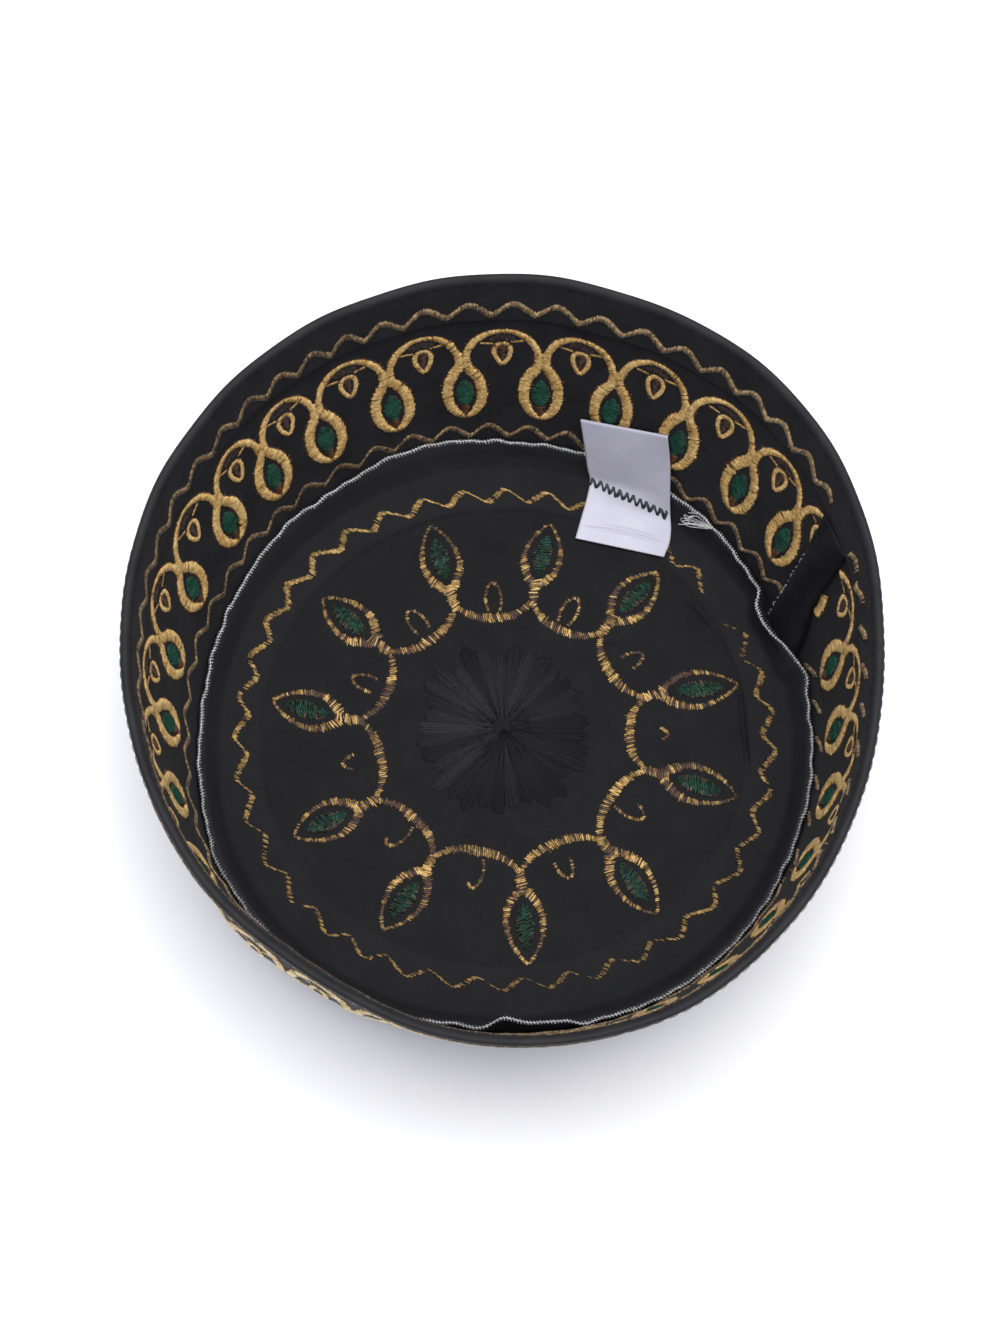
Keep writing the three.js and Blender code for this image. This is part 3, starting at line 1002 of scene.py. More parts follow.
@dataclass(frozen=True)
class SeamEdge:
    """The raw edges of crown and band, which stand up together against the band inside."""

    form: CapForm
    thickness: float = 1.2
    gap: float = 0.3
    flap_room: float = 1.9
    flap_lift: float = 0.8
    flap_from: float = 14.4
    flap_to: float = 24.9
    flap_ramp: Pair = (5.0, 1.0)
    turns: int = 900
    climb: Row = (0.0, 0.25, 0.5, 0.75, 0.92)
    depths: Row = (0.0, 0.12, 0.42, 0.52)
    texture_height: float = 6.0
    sway: float = 0.8
    sway_turn: float = 120.0
    lean_curve: float = 1.5
    height: AngleTable = AngleTable(
        angles=(0, 6, 12, 16, 21, 25.5, 31, 37.5, 44.5, 50, 57, 74, 89, 101, 112, 124, 136, 148,
                161, 174, 190, 199, 206, 222, 232, 240, 250, 256, 262, 266, 270, 275, 281, 284, 290, 300,
                320, 335, 347),
        values=(9.0, 9.0, 10.6, 9.6, 9.4, 9.6, 9.4, 9.6, 9.8, 9.2, 8.6, 9.0, 9.6, 10.2, 10.2, 9.2, 9.8, 9.2,
                9.0, 8.6, 9.0, 9.3, 11.0, 10.0, 7.6, 5.8, 5.8, 8.0, 9.8, 10.0, 9.2, 9.6, 9.8, 10.2, 9.8,
                10.6, 10.2, 9.0, 9.8),
    )
    lean: AngleTable = AngleTable(
        angles=(0, 6, 12, 16, 21, 25.5, 31, 37.5, 44.5, 50, 57, 74, 89, 101, 112, 124, 136, 148,
                161, 174, 190, 199, 206, 225, 254, 262, 266, 270, 275, 281, 284, 290, 300, 320, 335, 347),
        values=(0.5, 0.6, 0.1, 1.0, 3.0, 3.0, 2.6, 2.4, 1.6, 1.0, 0.3, 0.4, 0.9, 0.2, 0.2, 0.7, 0.4, 0.6,
                0.8, 0.8, 0.5, 0.5, 0.1, 0.1, 0.1, 1.0, 0.4, 3.0, 1.8, 1.5, 0.3, 0.4, 0.1, 0.1, 0.4, 0.3),
    )
    quiver: Ripple = Ripple(seed=23, size=0.16, lobes=(34, 90), waves=18)

    def seat(self, angle: Array) -> Array:
        """Gives the depth of the raw edges' outer face at their foot.

        Args:
            angle: Angles in degrees.

        Returns:
            Depths from the wall's outer face.
        """
        turned = np.mod(angle, 360.0)
        far, near = self.flap_ramp
        rise = eased(turned, self.flap_from - far, self.flap_from - near)
        fall = 1 - eased(turned, self.flap_to + near, self.flap_to + far)
        lift = self.flap_lift * np.clip((turned - self.flap_from) / (self.flap_to - self.flap_from), 0, 1)
        return self.form.band_thickness + self.gap + (self.flap_room + lift) * rise * fall

    def top(self, angle: Array) -> Array:
        """Gives the height of the raw edge, with its small quiver."""
        return self.height.at(angle) + self.quiver.at(angle, 0.0)

    def depth(self, angle: Array, share: Array) -> Array:
        """Gives the depth of the edges' outer face at a share of the way up from the foot."""
        sway = self.quiver.at(np.asarray(angle) + self.sway_turn, 0.0) * self.sway
        return self.seat(angle) + (self.lean.at(angle) + sway) * np.asarray(share) ** self.lean_curve

    def place(self, angle: Array, share: Array, inward: Array) -> Array:
        """Places a point of the raw edges.

        Args:
            angle: Angles in degrees.
            share: Share of the way up from foot to raw edge.
            inward: Distance inward from their outer face.

        Returns:
            Points in the row frame.
        """
        height = self.form.seam_height + (self.top(angle) - self.form.seam_height) * share
        radius = self.form.outer_radius(angle, height) - self.depth(angle, share) - inward
        return self.form.point(angle, radius, height)

    def build(self, finish: Material) -> None:
        """Builds the band's own raw edge, the layer behind the crown's.

        Args:
            finish: Its material.
        """
        angle = np.linspace(0, 360, self.turns, endpoint=False)[:, None]
        share = np.array([*self.climb, 1.0, 1.0, *self.climb[::-1]])[None]
        inward = np.repeat(self.depths, [len(self.climb), 1, 1, len(self.climb)])[None]
        points = self.place(angle, share, inward)
        along = np.radians(angle) * self.form.pattern_radius
        texture = np.stack(np.broadcast_arrays(along, share * self.texture_height), axis=-1)
        faces = [grid_faces(self.turns, share.shape[1], True, True)]
        piece = add_mesh("band_raw_edge", points, faces, finish, texture)
        dress(piece, ("crown_seam_allowance",))


@dataclass(frozen=True)
class Crown:
    """The round top panel: flat where it rests, dished, and turned up at its raw edge.

    A pair of angles, radii or heights is where something sets in and where it is whole. Three
    numbers of a stretch of rings are its two ends, as shares of the radius, and its count.
    """

    form: CapForm
    edge: SeamEdge
    turns: int = 540
    pleats: int = 31
    pleat_size: float = 0.05
    pleat_start: Pair = (1.5, 6.0)
    pleat_end: Pair = (14.4, 24.0)
    pleat_wander: Triples = ((1.4, 3.0, 0.6), (0.8, 7.0, 0.0))
    interfacing: float = 0.18
    interfacing_edge: Pair = (59.0, 60.6)
    layer: float = 0.55
    buckle: Ripple = Ripple(seed=7, size=0.12, lobes=(2, 14), shortest=35.0)
    buckle_start: Pair = (20.0, 40.0)
    crease_height: float = 0.3
    crease_half: float = 0.55
    crease_start: Pair = (-16.0, -6.0)
    crease_end: Pair = (30.0, 44.0)
    crease: AngleTable = AngleTable(
        angles=(-12, 0, 12, 20, 32, 40, 200), values=(60.5, 58.7, 58.8, 58.4, 57.2, 56.6, 58.0)
    )
    inner_rings: Triples = ((0.01, 0.74, 50), (0.745, 0.82, 18), (0.83, 0.955, 12))
    outer_rings: Triples = ((0.998, 0.99, 2), (0.97, 0.74, 12), (0.7, 0.02, 24))
    foot_rise: float = 1.5
    corner_pull: Pair = (0.02, 0.25)
    corner_steps: Triple = (0.18, 0.42, 0.7)
    edge_corners: Pair = (0.12, 0.1)
    seam_inset: float = 0.5
    seam_drop: float = 0.1
    bare_flat: float = 0.1
    # Heights over which the standing raw edge is painted paler, as painted light.
    painted_light_heights: Pair = (2.6, 8.0)
    texture_lean: float = 0.7

    def relief(self, angle: Array, radius: Array) -> Array:
        """Gives the panel's small unevenness, with fine pleats drawn in to the rosette.

        Args:
            angle: Angles in degrees.
            radius: Distances from the centre.

        Returns:
            Heights above the plain form.
        """
        turn = np.radians(angle)
        fade = eased(radius, *self.pleat_start) * (1 - eased(radius, *self.pleat_end))
        wander = sum(size * np.sin(turn * lobes + phase) for size, lobes, phase in self.pleat_wander)
        pleat = self.pleat_size * np.cos(self.pleats * turn + wander) * fade
        turned = np.mod(np.asarray(angle) + 180.0, 360.0) - 180.0
        reach = eased(turned, *self.crease_start) * (1 - eased(turned, *self.crease_end))
        ridge = np.exp(-(((radius - self.crease.at(angle)) / self.crease_half) ** 2)) * reach
        step = self.interfacing * eased(radius, *self.interfacing_edge)
        buckle = self.buckle.at(angle, radius) * eased(radius, *self.buckle_start)
        return pleat + buckle + self.crease_height * ridge - step

    def place(self, across: Array, up: Array, lift: Array) -> Array:
        """Places flat needlework on the panel's inner face, with the panel's unevenness."""
        relief = self.relief(np.degrees(np.arctan2(up, across)), np.hypot(across, up))
        return self.form.inside_crown(across, up, lift + relief)

    def inner_face(self, angle: Array) -> list[Array]:
        """Lays out the inner face, from near its middle to the corner where the cloth turns up.

        Args:
            angle: Angles in degrees.

        Returns:
            Rings of points.
        """
        form, edge = self.form, self.edge
        foot_radius = form.outer_radius(angle, form.seam_height + self.foot_rise) - edge.seat(angle)
        rings = []
        for share in np.concatenate([np.linspace(*span) for span in self.inner_rings]):
            radius = (foot_radius - edge.thickness) * share
            height = form.crown_height(angle, radius) + self.relief(angle, radius)
            rings.append(form.point(angle, radius, height))
        return rings

    def raw_edge(self, angle: Array, corner: Array) -> list[Array]:
        """Lays out the raw edge: round the corner, up its inner side, over it and down its back.

        Args:
            angle: Angles in degrees.
            corner: The last ring of the inner face.

        Returns:
            Rings of points.
        """
        whole = self.edge.thickness
        back = whole - self.layer
        near, far = self.edge_corners
        up = [(share, whole) for share in (0.25, 0.4, 0.6, 0.8, 0.95)]
        over = [(1.0, whole - near), (1.0, back + far)]
        down = [(share, back) for share in (0.9, 0.6, 0.3, 0.05)]
        steps = up + over + down
        rings = [self.edge.place(angle, np.full_like(angle, share), inward) for share, inward in steps]
        low, inset = self.corner_pull
        pull = self.edge.place(angle, np.full_like(angle, low), whole + inset)
        bend = []
        for way in self.corner_steps:
            bend.append((1 - way) ** 2 * corner + 2 * way * (1 - way) * pull + way**2 * rings[0])
        return bend + rings

    def outer_face(self, angle: Array) -> list[Array]:
        """Lays out the outer face, from the seam back to near its middle.

        Args:
            angle: Angles in degrees.

        Returns:
            Rings of points.
        """
        form = self.form
        seam_radius = form.seam.at(angle)
        foot = np.full_like(angle, form.seam_height - self.seam_drop)
        rings = [form.point(angle, seam_radius - self.seam_inset, foot)]
        for share in np.concatenate([np.linspace(*span) for span in self.outer_rings]):
            radius = seam_radius * share
            rise = form.crown_height(angle, radius) - form.crown_top
            rings.append(form.point(angle, radius, form.crown_floor + rise))
        return rings

    def build(self, finish: Material) -> None:
        """Builds the panel as one closed cloth, from its middle out, up to the raw edge and back.

        Args:
            finish: Its material.
        """
        form = self.form
        angle = np.linspace(0, 360, self.turns, endpoint=False)
        inner = self.inner_face(angle)
        rings = [*inner, *self.raw_edge(angle, inner[-1]), *self.outer_face(angle)]
        grid = np.stack(rings, axis=1)
        points = grid.reshape(-1, 3)
        steps = grid.shape[1]
        middle = np.array([*form.seam_centre])
        poles = np.array([[*middle, form.crown_top], [*middle, form.crown_floor]])
        top, bottom = len(points), len(points) + 1
        here = np.arange(self.turns) * steps
        after = np.roll(here, -1)
        fans = np.concatenate(
            [
                np.stack([np.full_like(here, top), here, after], axis=-1),
                np.stack([np.full_like(here, bottom), after + steps - 1, here + steps - 1], axis=-1),
            ]
        )
        quads = grid_faces(self.turns, steps, True, False)
        points = np.vstack([points, poles])
        texture = points[:, :2] + points[:, 2:3] * self.texture_lean
        out = np.linalg.norm(points[:, :2] - middle, axis=1)
        # Painted light: the cloth is a little paler past the interfacing's edge, and much paler where the raw
        # edge stands up.
        bare_and_painted_light = self.bare_flat * eased(out, *self.interfacing_edge)
        bare_and_painted_light = bare_and_painted_light + (1 - self.bare_flat) * eased(points[:, 2], *self.painted_light_heights)
        piece = add_mesh("crown_cloth", points, [quads[:, ::-1], fans[:, ::-1]], finish, texture, bare_and_painted_light)
        dress(piece, ("crown",))
        across = 2 * (np.mean(form.seam.values) + self.edge.top(angle).mean() - form.seam_height)


@dataclass(frozen=True)
class Overlock:
    """The overlock thread: small loops thrown over both raw edges, with three straight looper threads."""

    edge: SeamEdge
    pitch: float = 0.8
    steps: int = 8
    loop_up: float = 0.3
    loop_out: float = 0.42
    thread: float = 0.14
    below_edge: float = 0.1
    loop_vary: Pair = (0.7, 1.3)
    loopers: Pairs = ((-0.1, 0.0), (0.15, 0.3), (0.15, -0.3))
    looper_steps: int = 900
    looper_scatter: float = 0.04
    tone: AngleTable = AngleTable(
        angles=(0, 30, 60, 90, 180, 197, 212, 228, 245, 265, 285, 305, 325, 345),
        values=(0.8, 0.9, 1.0, 1.0, 1.0, 0.8, 0.45, 0.4, 0.6, 0.75, 0.8, 0.6, 0.5, 0.7),
    )

    def build(self, finish: Material) -> None:
        """Builds the thread.

        Args:
            finish: Its material.
        """
        edge = self.edge
        loops = int(2 * np.pi * np.mean(edge.form.seam.values) / self.pitch)
        rng = np.random.default_rng(3)
        count = loops * self.steps
        loop = np.arange(count) / self.steps
        turn = loop * 2 * np.pi
        angle = np.arange(count) / count * 360.0
        vary = np.interp(loop, np.arange(loops + 1), rng.uniform(*self.loop_vary, loops + 1))
        middle = edge.thickness / 2
        inward = middle + self.loop_out * np.cos(turn) * vary
        drop = self.below_edge - self.loop_up * np.sin(turn) * vary
        helix = edge.place(angle, 1 - drop / (edge.top(angle) - edge.form.seam_height), inward)
        straight = np.linspace(0, 360, self.looper_steps)
        span = edge.top(straight) - edge.form.seam_height
        paths = [np.vstack([helix, helix[:1]])]
        for low, beside in self.loopers:
            inset = middle + beside + rng.normal(0, self.looper_scatter, self.looper_steps)
            paths.append(edge.place(straight, 1 - low / span, inset))
        points, faces, shade = Thread(radius=self.thread).tube(paths)
        shade = shade * self.tone.at(np.degrees(np.arctan2(points[:, 1], points[:, 0])))
        dress(add_mesh("overlock_thread", points, faces, finish, shade=shade))


@dataclass(frozen=True)
class ClosingSeam:
    """The folded flap of the seam that closes the band, with the grey thread that holds its free edge."""

    form: CapForm
    levels: Row = (4.3, 17.0, 24.0, 30.0, 49.4)
    starts: Row = (14.4, 16.2, 18.6, 18.8, 18.9)
    ends: Row = (24.9, 25.5, 25.7, 25.9, 26.6)
    thickness: float = 1.6
    gap: float = 0.3
    lift: float = 0.8
    creases: Triples = ((0.35, 7.5, 0.11), (0.2, 3.0, 0.45))
    corners: Pair = (0.45, 0.55)
    texture_width: float = 15.0
    thread: float = 0.11
    thread_start: float = 1.0
    thread_top: float = 34.0
    stitch: Pair = (0.6, 1.5)
    space: Pair = (0.4, 1.4)
    rows: int = 120
    columns: int = 36

    def span(self, height: Array) -> tuple[Array, Array]:
        """Gives the angles of the flap's seam edge and of its free edge at each height."""
        return np.interp(height, self.levels, self.starts), np.interp(height, self.levels, self.ends)

    def place(self, across: Array, height: Array, over: Array) -> Array:
        """Places a point of the flap.

        Args:
            across: Share of the way from the seam edge to the free edge.
            height: Heights above the floor.
            over: Distance inward from the flap's back.

        Returns:
            Points in the row frame.
        """
        first, last = self.span(height)
        angle = first + (last - first) * across
        crease = sum(size * np.sin(across * wide + height * tall) for size, wide, tall in self.creases)
        depth = self.form.band_thickness + self.gap + self.lift * across + over
        return self.form.wall(angle, height, depth + crease * np.clip(over, 0.0, 1.0))

    def build(self, finish: Material, thread: Material) -> None:
        """Builds the flap and its edge thread.

        Args:
            finish: The cloth's material.
            thread: The thread's material.
        """
        turn = np.linspace(0, 2 * np.pi, self.columns, endpoint=False)
        ways = zip((np.cos(turn), np.sin(turn)), self.corners)
        side, top = (np.sign(way) * np.abs(way) ** corner for way, corner in ways)
        across = 0.5 - 0.5 * side
        over = self.thickness * (0.5 + 0.5 * top)
        height = np.linspace(self.levels[0], self.levels[-1], self.rows)[:, None]
        points = self.place(across[None], height, over[None])
        first = np.arange(self.columns)
        faces = [
            grid_faces(self.rows, self.columns, False, True),
            np.stack([first, (self.rows - 1) * self.columns + first[::-1]]),
        ]
        texture = np.stack(np.broadcast_arrays(across[None] * self.texture_width, height), axis=-1)
        flap = add_mesh("back_seam_flap", points, faces, finish, texture)
        dress(flap, ("back_seam_allowance",))
        rng = np.random.default_rng(9)
        paths = []
        level = self.levels[0] + self.thread_start
        while level < self.thread_top:
            length = rng.uniform(*self.stitch)
            share = np.linspace(0, 1, 6)
            wave = 1.0 + 0.02 * np.sin(share * 5 + level)
            paths.append(self.place(wave, level + share * length, 0.9 + 0.5 * np.sin(share * np.pi)))
            level += length + rng.uniform(*self.space)
        points, faces, shade = Thread(radius=self.thread).tube(paths)
        dress(add_mesh("flap_edge_thread", points, faces, thread, shade=shade))


@dataclass(frozen=True)
class Zigzag:
    """One zigzag border of satin stitches that all lie the same way, so its legs differ in width.

    It is sewn from a first angle to a last one, with samples a step apart.
    """

    down: float
    half: float
    period: float
    first_peak: float
    width: float
    toward: Pair
    sewn: Triple = (20.5, 382.0, 0.12)
    wave_mix: Pair = (0.55, 0.45)
    tone: AngleTable = AngleTable(angles=(0.0, 180.0), values=(1.0, 1.0))
    wander: AngleTable = AngleTable(angles=(0.0, 180.0), values=(0.0, 0.0))
    worn_legs: AngleTable = AngleTable(angles=(14.0, 19.0, 320.0, 332.0), values=(0.9, 0.0, 0.0, 0.9))
    breadth: AngleTable = AngleTable(angles=(12.0, 24.0, 320.0, 336.0), values=(1.4, 1.0, 1.0, 1.4))

    def stitched(self, needle: Needle, radius: float, face: Face) -> Stitches:
        """Stitches the border, with peaks that point at the rim. Only the inside is worn and dulled.

        Args:
            needle: The needle.
            radius: The pattern's radius.
            face: The side of the cloth.

        Returns:
            The stitches.
        """
        angle = np.arange(*self.sewn)
        turn = np.pi * (angle - self.first_peak - self.wander.at(angle)) / self.period
        round_share, sharp_share = self.wave_mix
        wave = round_share * np.cos(turn) ** 2 + sharp_share * np.abs(np.cos(turn))
        path = np.stack([np.radians(angle) * radius, self.down + self.half - 2 * self.half * wave], axis=-1)
        leaving = np.gradient(path[:, 1]) < 0
        if face is Face.OUTSIDE:
            return needle.satin(path, self.width, toward=np.array(self.toward))
        wear = np.where(leaving, np.clip(self.worn_legs.at(angle), 0.0, 1.0), 0.0)
        width = self.width * self.breadth.at(angle)
        return needle.satin(path, width, wear, np.array(self.toward), self.tone.at(angle))


@dataclass(frozen=True)
class BandPattern:
    """A running vine: drops hang from a row of arches, a bud under each arch, a zigzag either side."""

    form: CapForm
    face: Face
    drops: Row = (
        21.1, 32.0, 44.4, 57.9, 71.0, 83.6, 96.8, 109.6, 122.5, 133.9, 145.4, 159.0, 171.9, 184.3,
        197.3, 210.2, 223.2,
    )
    unseen_pitch: float = 11.97
    unseen_drops: int = 12
    last_drop: float = 380.4
    neck_half: float = 0.9
    outside_breadth: float = 1.25
    drop_side: Triples = (
        (0.9, 25.8, 2.4), (0.75, 28.3, 2.5), (1.0, 30.1, 2.8), (2.1, 31.9, 3.2), (3.4, 34.1, 3.2),
        (4.2, 37.0, 3.1), (4.4, 39.8, 3.0), (4.0, 42.7, 2.9), (2.9, 45.1, 2.6), (1.4, 46.8, 2.0),
        (0.1, 47.4, 1.5),
    )
    arch_side: Triples = (
        (0.0, 18.5, 1.4), (0.32, 19.0, 1.6), (0.58, 20.3, 2.0), (0.78, 22.1, 2.1), (0.92, 24.4, 2.0),
        (1.0, 26.8, 1.9),
    )
    bud_side: Pairs = (
        (0.0, 22.8), (1.2, 23.2), (1.95, 24.7), (1.75, 26.8), (0.85, 28.9), (0.0, 30.0),
    )
    sag: AngleTable = AngleTable(
        angles=(0, 32, 45, 60, 97, 122, 146, 172, 230, 300),
        values=(0.6, 1.7, 1.4, 1.1, 0.0, -0.6, -1.2, -1.8, -0.4, 0.2),
    )
    sag_from: float = 29.0
    sag_length: float = 19.0
    bud_shift: AngleTable = AngleTable(
        angles=(20, 100, 128, 155, 180, 270), values=(0.0, 0.0, 0.4, 1.2, 1.2, 0.0)
    )
    bud_width: float = 1.3
    bud_heart: Pair = (23.8, 28.2)
    bed_spread: float = 0.6
    heart_top: float = 34.7
    heart_length: float = 9.2
    heart_width: float = 5.3
    heart_bed: float = 5.9
    heart_round: float = 0.75
    drop_point: Pair = (43.4, 48.3)
    point_widths: Pair = (2.6, 0.8)
    strands: Pairs = ((-4.9, 22.0), (5.2, 22.5))
    strand_end: Pair = (0.42, 0.4)
    crescent: Pairs = ((-2.8, 21.5), (0.0, 20.6), (2.8, 21.5))
    shown_outside: float = 179.0
    shown_inside: Pair = (0.3, 359.4)
    rim_zigzag: Zigzag = Zigzag(
        down=9.6,
        half=1.8,
        period=6.555,
        first_peak=159.7,
        width=2.2,
        toward=(0.15, 1.0),
        tone=AngleTable(
            angles=(20, 100, 125, 190, 212, 226, 262, 275, 300),
            values=(1.0, 0.95, 0.62, 0.7, 0.5, 0.06, 0.06, 0.6, 0.9),
        ),
        wander=AngleTable(
            angles=(28, 61, 81, 95, 108, 121, 140, 160, 250),
            values=(0.0, -0.5, 0.5, 1.0, 1.7, 0.4, -0.6, 0.0, 0.0),
        ),
    )
    seam_zigzag: Zigzag = Zigzag(
        down=52.8,
        half=1.75,
        period=7.25,
        first_peak=172.6,
        width=1.9,
        toward=(0.42, 0.9),
        tone=AngleTable(angles=(20, 95, 120, 150, 180, 300), values=(0.85, 0.8, 0.5, 0.55, 0.75, 0.85)),
    )

    def angles(self) -> Array:
        """Lists the drops' angles, from one end of the band to the other."""
        unseen = self.drops[-1] + self.unseen_pitch * np.arange(1, self.unseen_drops + 1)
        return np.array([*self.drops, *unseen, self.last_drop])

    def needle(self, seed: int, **changes: float) -> Needle:
        """Gives the needle for this face: inside is the wrong side of the work, a little rougher.

        Args:
            seed: The seed of its random draws.
            changes: Values that differ from this face's own.

        Returns:
            The needle.
        """
        if self.face is Face.INSIDE:
            base = {"ragged": 0.08, "thread": 0.54, "uneven": 0.3, "dark": 0.04}
        else:
            base = {"ragged": 0.05, "uneven": 0.2}
        return Needle(seed=seed, **{**base, **changes})

    def shown(self, stitches: Stitches) -> Stitches:
        """Leaves out the stitches that the closing seam takes in.

        Args:
            stitches: Stitches of the whole strip.

        Returns:
            The stitches that show.
        """
        middle = (stitches.starts + stitches.ends) / 2
        angle = np.degrees(middle[:, 0] / self.form.pattern_radius)
        if self.face is Face.OUTSIDE:
            return stitches.kept(np.abs(angle - self.form.closing_angle - 180) < self.shown_outside)
        first, last = ClosingSeam(self.form).span(self.form.height_at(middle[:, 1]))
        after, before = self.shown_inside
        return stitches.kept((angle > last + after) & (angle < first + before))

    def sagged(self, stitches: Stitches) -> Stitches:
        """Moves the lower part of the pattern as it wanders down and up on the real band.

        Args:
            stitches: Stitches of the whole strip, which are moved in place.

        Returns:
            The same stitches.
        """
        for ends in (stitches.starts, stitches.ends):
            angle = np.degrees(ends[:, 0] / self.form.pattern_radius)
            share = np.clip((ends[:, 1] - self.sag_from) / self.sag_length, 0.0, None)
            ends[:, 1] += self.sag.at(angle) * share
        return stitches

    def column(self, groups: Groups, needle: Needle, knots: Sequence[Sequence[float]]) -> None:
        """Stitches one gold column over a slightly wider bed of brown thread.

        Args:
            groups: Where its stitches go.
            needle: The gold needle.
            knots: Points of the column, each with its width.
        """
        line = rounded(knots, SAMPLE)
        bed = self.needle(4, thread=0.42, lift=0.14, pitch=0.55, ragged=0.16, patchy=0.5)
        broad = 1.0 if self.face is Face.INSIDE else self.outside_breadth
        groups["gold"].append(needle.satin(line[:, :2], line[:, 2] * broad))
        groups["brown"].append(bed.satin(line[:, :2], line[:, 2] * broad + self.bed_spread))

    def drop(self, groups: Groups, middle: float) -> None:
        """Stitches one drop, its green heart and the brown point under it.

        Args:
            groups: Where its stitches go.
            middle: The drop's place along the band.
        """
        gold = self.needle(1)
        green = self.needle(3, thread=0.46, lift=0.42, dark=0.0, slant=4.0, patchy=0.35)
        brown = self.needle(5, thread=0.4, lift=0.14, pitch=0.5, ragged=0.06)
        for side in (-1, 1):
            self.column(groups, gold, [(middle + side * x, y, width) for x, y, width in self.drop_side])
        share = np.linspace(0.02, 0.98, 40)
        swell = np.sin(np.pi * share) ** self.heart_round
        heart = np.stack([np.full_like(share, middle), self.heart_top + self.heart_length * share], axis=-1)
        groups["green"].append(green.satin(heart, self.heart_width * swell))
        groups["brown"].append(brown.satin(heart, self.heart_bed * swell, tone=0.6))
        point = np.array([[middle, down] for down in self.drop_point])
        below = self.needle(6, thread=0.45, lift=0.5, pitch=0.4, ragged=0.15)
        groups["brown"].append(below.satin(point, self.point_widths))

    def arch(self, groups: Groups, middle: float, half: float) -> None:
        """Stitches one arch and the bud that hangs in it.

        Args:
            groups: Where its stitches go.
            middle: The arch's place along the band.
            half: Half of its width.
        """
        gold, fine = self.needle(2), self.needle(7, thread=0.42, lift=0.34, pitch=0.34)
        brown = self.needle(8, thread=0.4, lift=0.16, pitch=0.5, ragged=0.2)
        left = [(middle - half * x, y, width) for x, y, width in self.arch_side[::-1]]
        right = [(middle + half * x, y, width) for x, y, width in self.arch_side[1:]]
        self.column(groups, gold, left + right)
        lower = float(self.bud_shift.at(np.degrees(middle / self.form.pattern_radius)))
        for side in (-1, 1):
            knots = [(middle + side * x, y + lower, self.bud_width) for x, y in self.bud_side]
            self.column(groups, fine, knots)
        inner, fall = self.strand_end
        for reach, down in self.strands:
            end = (middle + reach * inner, down + fall + lower * 0.7)
            strand = rounded([(middle + reach, down), end], SAMPLE)
            groups["gold"].append(fine.satin(strand, 0.75, tone=0.7))
        crescent = rounded([(middle + x, y) for x, y in self.crescent], SAMPLE)
        groups["brown"].append(brown.satin(crescent, 1.8, tone=0.4))
        heart = np.array([[middle, down + lower] for down in self.bud_heart])
        groups["brown"].append(brown.satin(heart, self.point_widths, tone=0.6))

    def build(self, threads: dict[str, Material]) -> None:
        """Lays the whole pattern on its face of the band.

        Args:
            threads: Materials by thread name.
        """
        form = self.form
        surface = form.inside_wall if self.face is Face.INSIDE else form.outside_wall
        radius = form.pattern_radius
        places = np.radians(self.angles()) * radius
        groups: Groups = {"gold": [], "green": [], "brown": []}
        for middle in places:
            self.drop(groups, middle)
        for left, right in zip(places, places[1:]):
            self.arch(groups, (left + right) / 2, (right - left) / 2 - self.neck_half)
        groups["old_gold"] = [
            self.rim_zigzag.stitched(self.needle(9, dark=0.12, patchy=0.5), radius, self.face),
            self.seam_zigzag.stitched(self.needle(10, dark=0.18, patchy=0.55), radius, self.face),
        ]
        for colour, parts in groups.items():
            name = f"band_{colour}_{self.face.value}"
            # Outside, the gold takes the thread that is painted pale, as painted highlight.
            bright = colour == "gold" and self.face is Face.OUTSIDE
            thread = threads["bright_gold" if bright else colour]
            dress(self.shown(self.sagged(Stitches.join(parts))).laid(name, surface, thread))


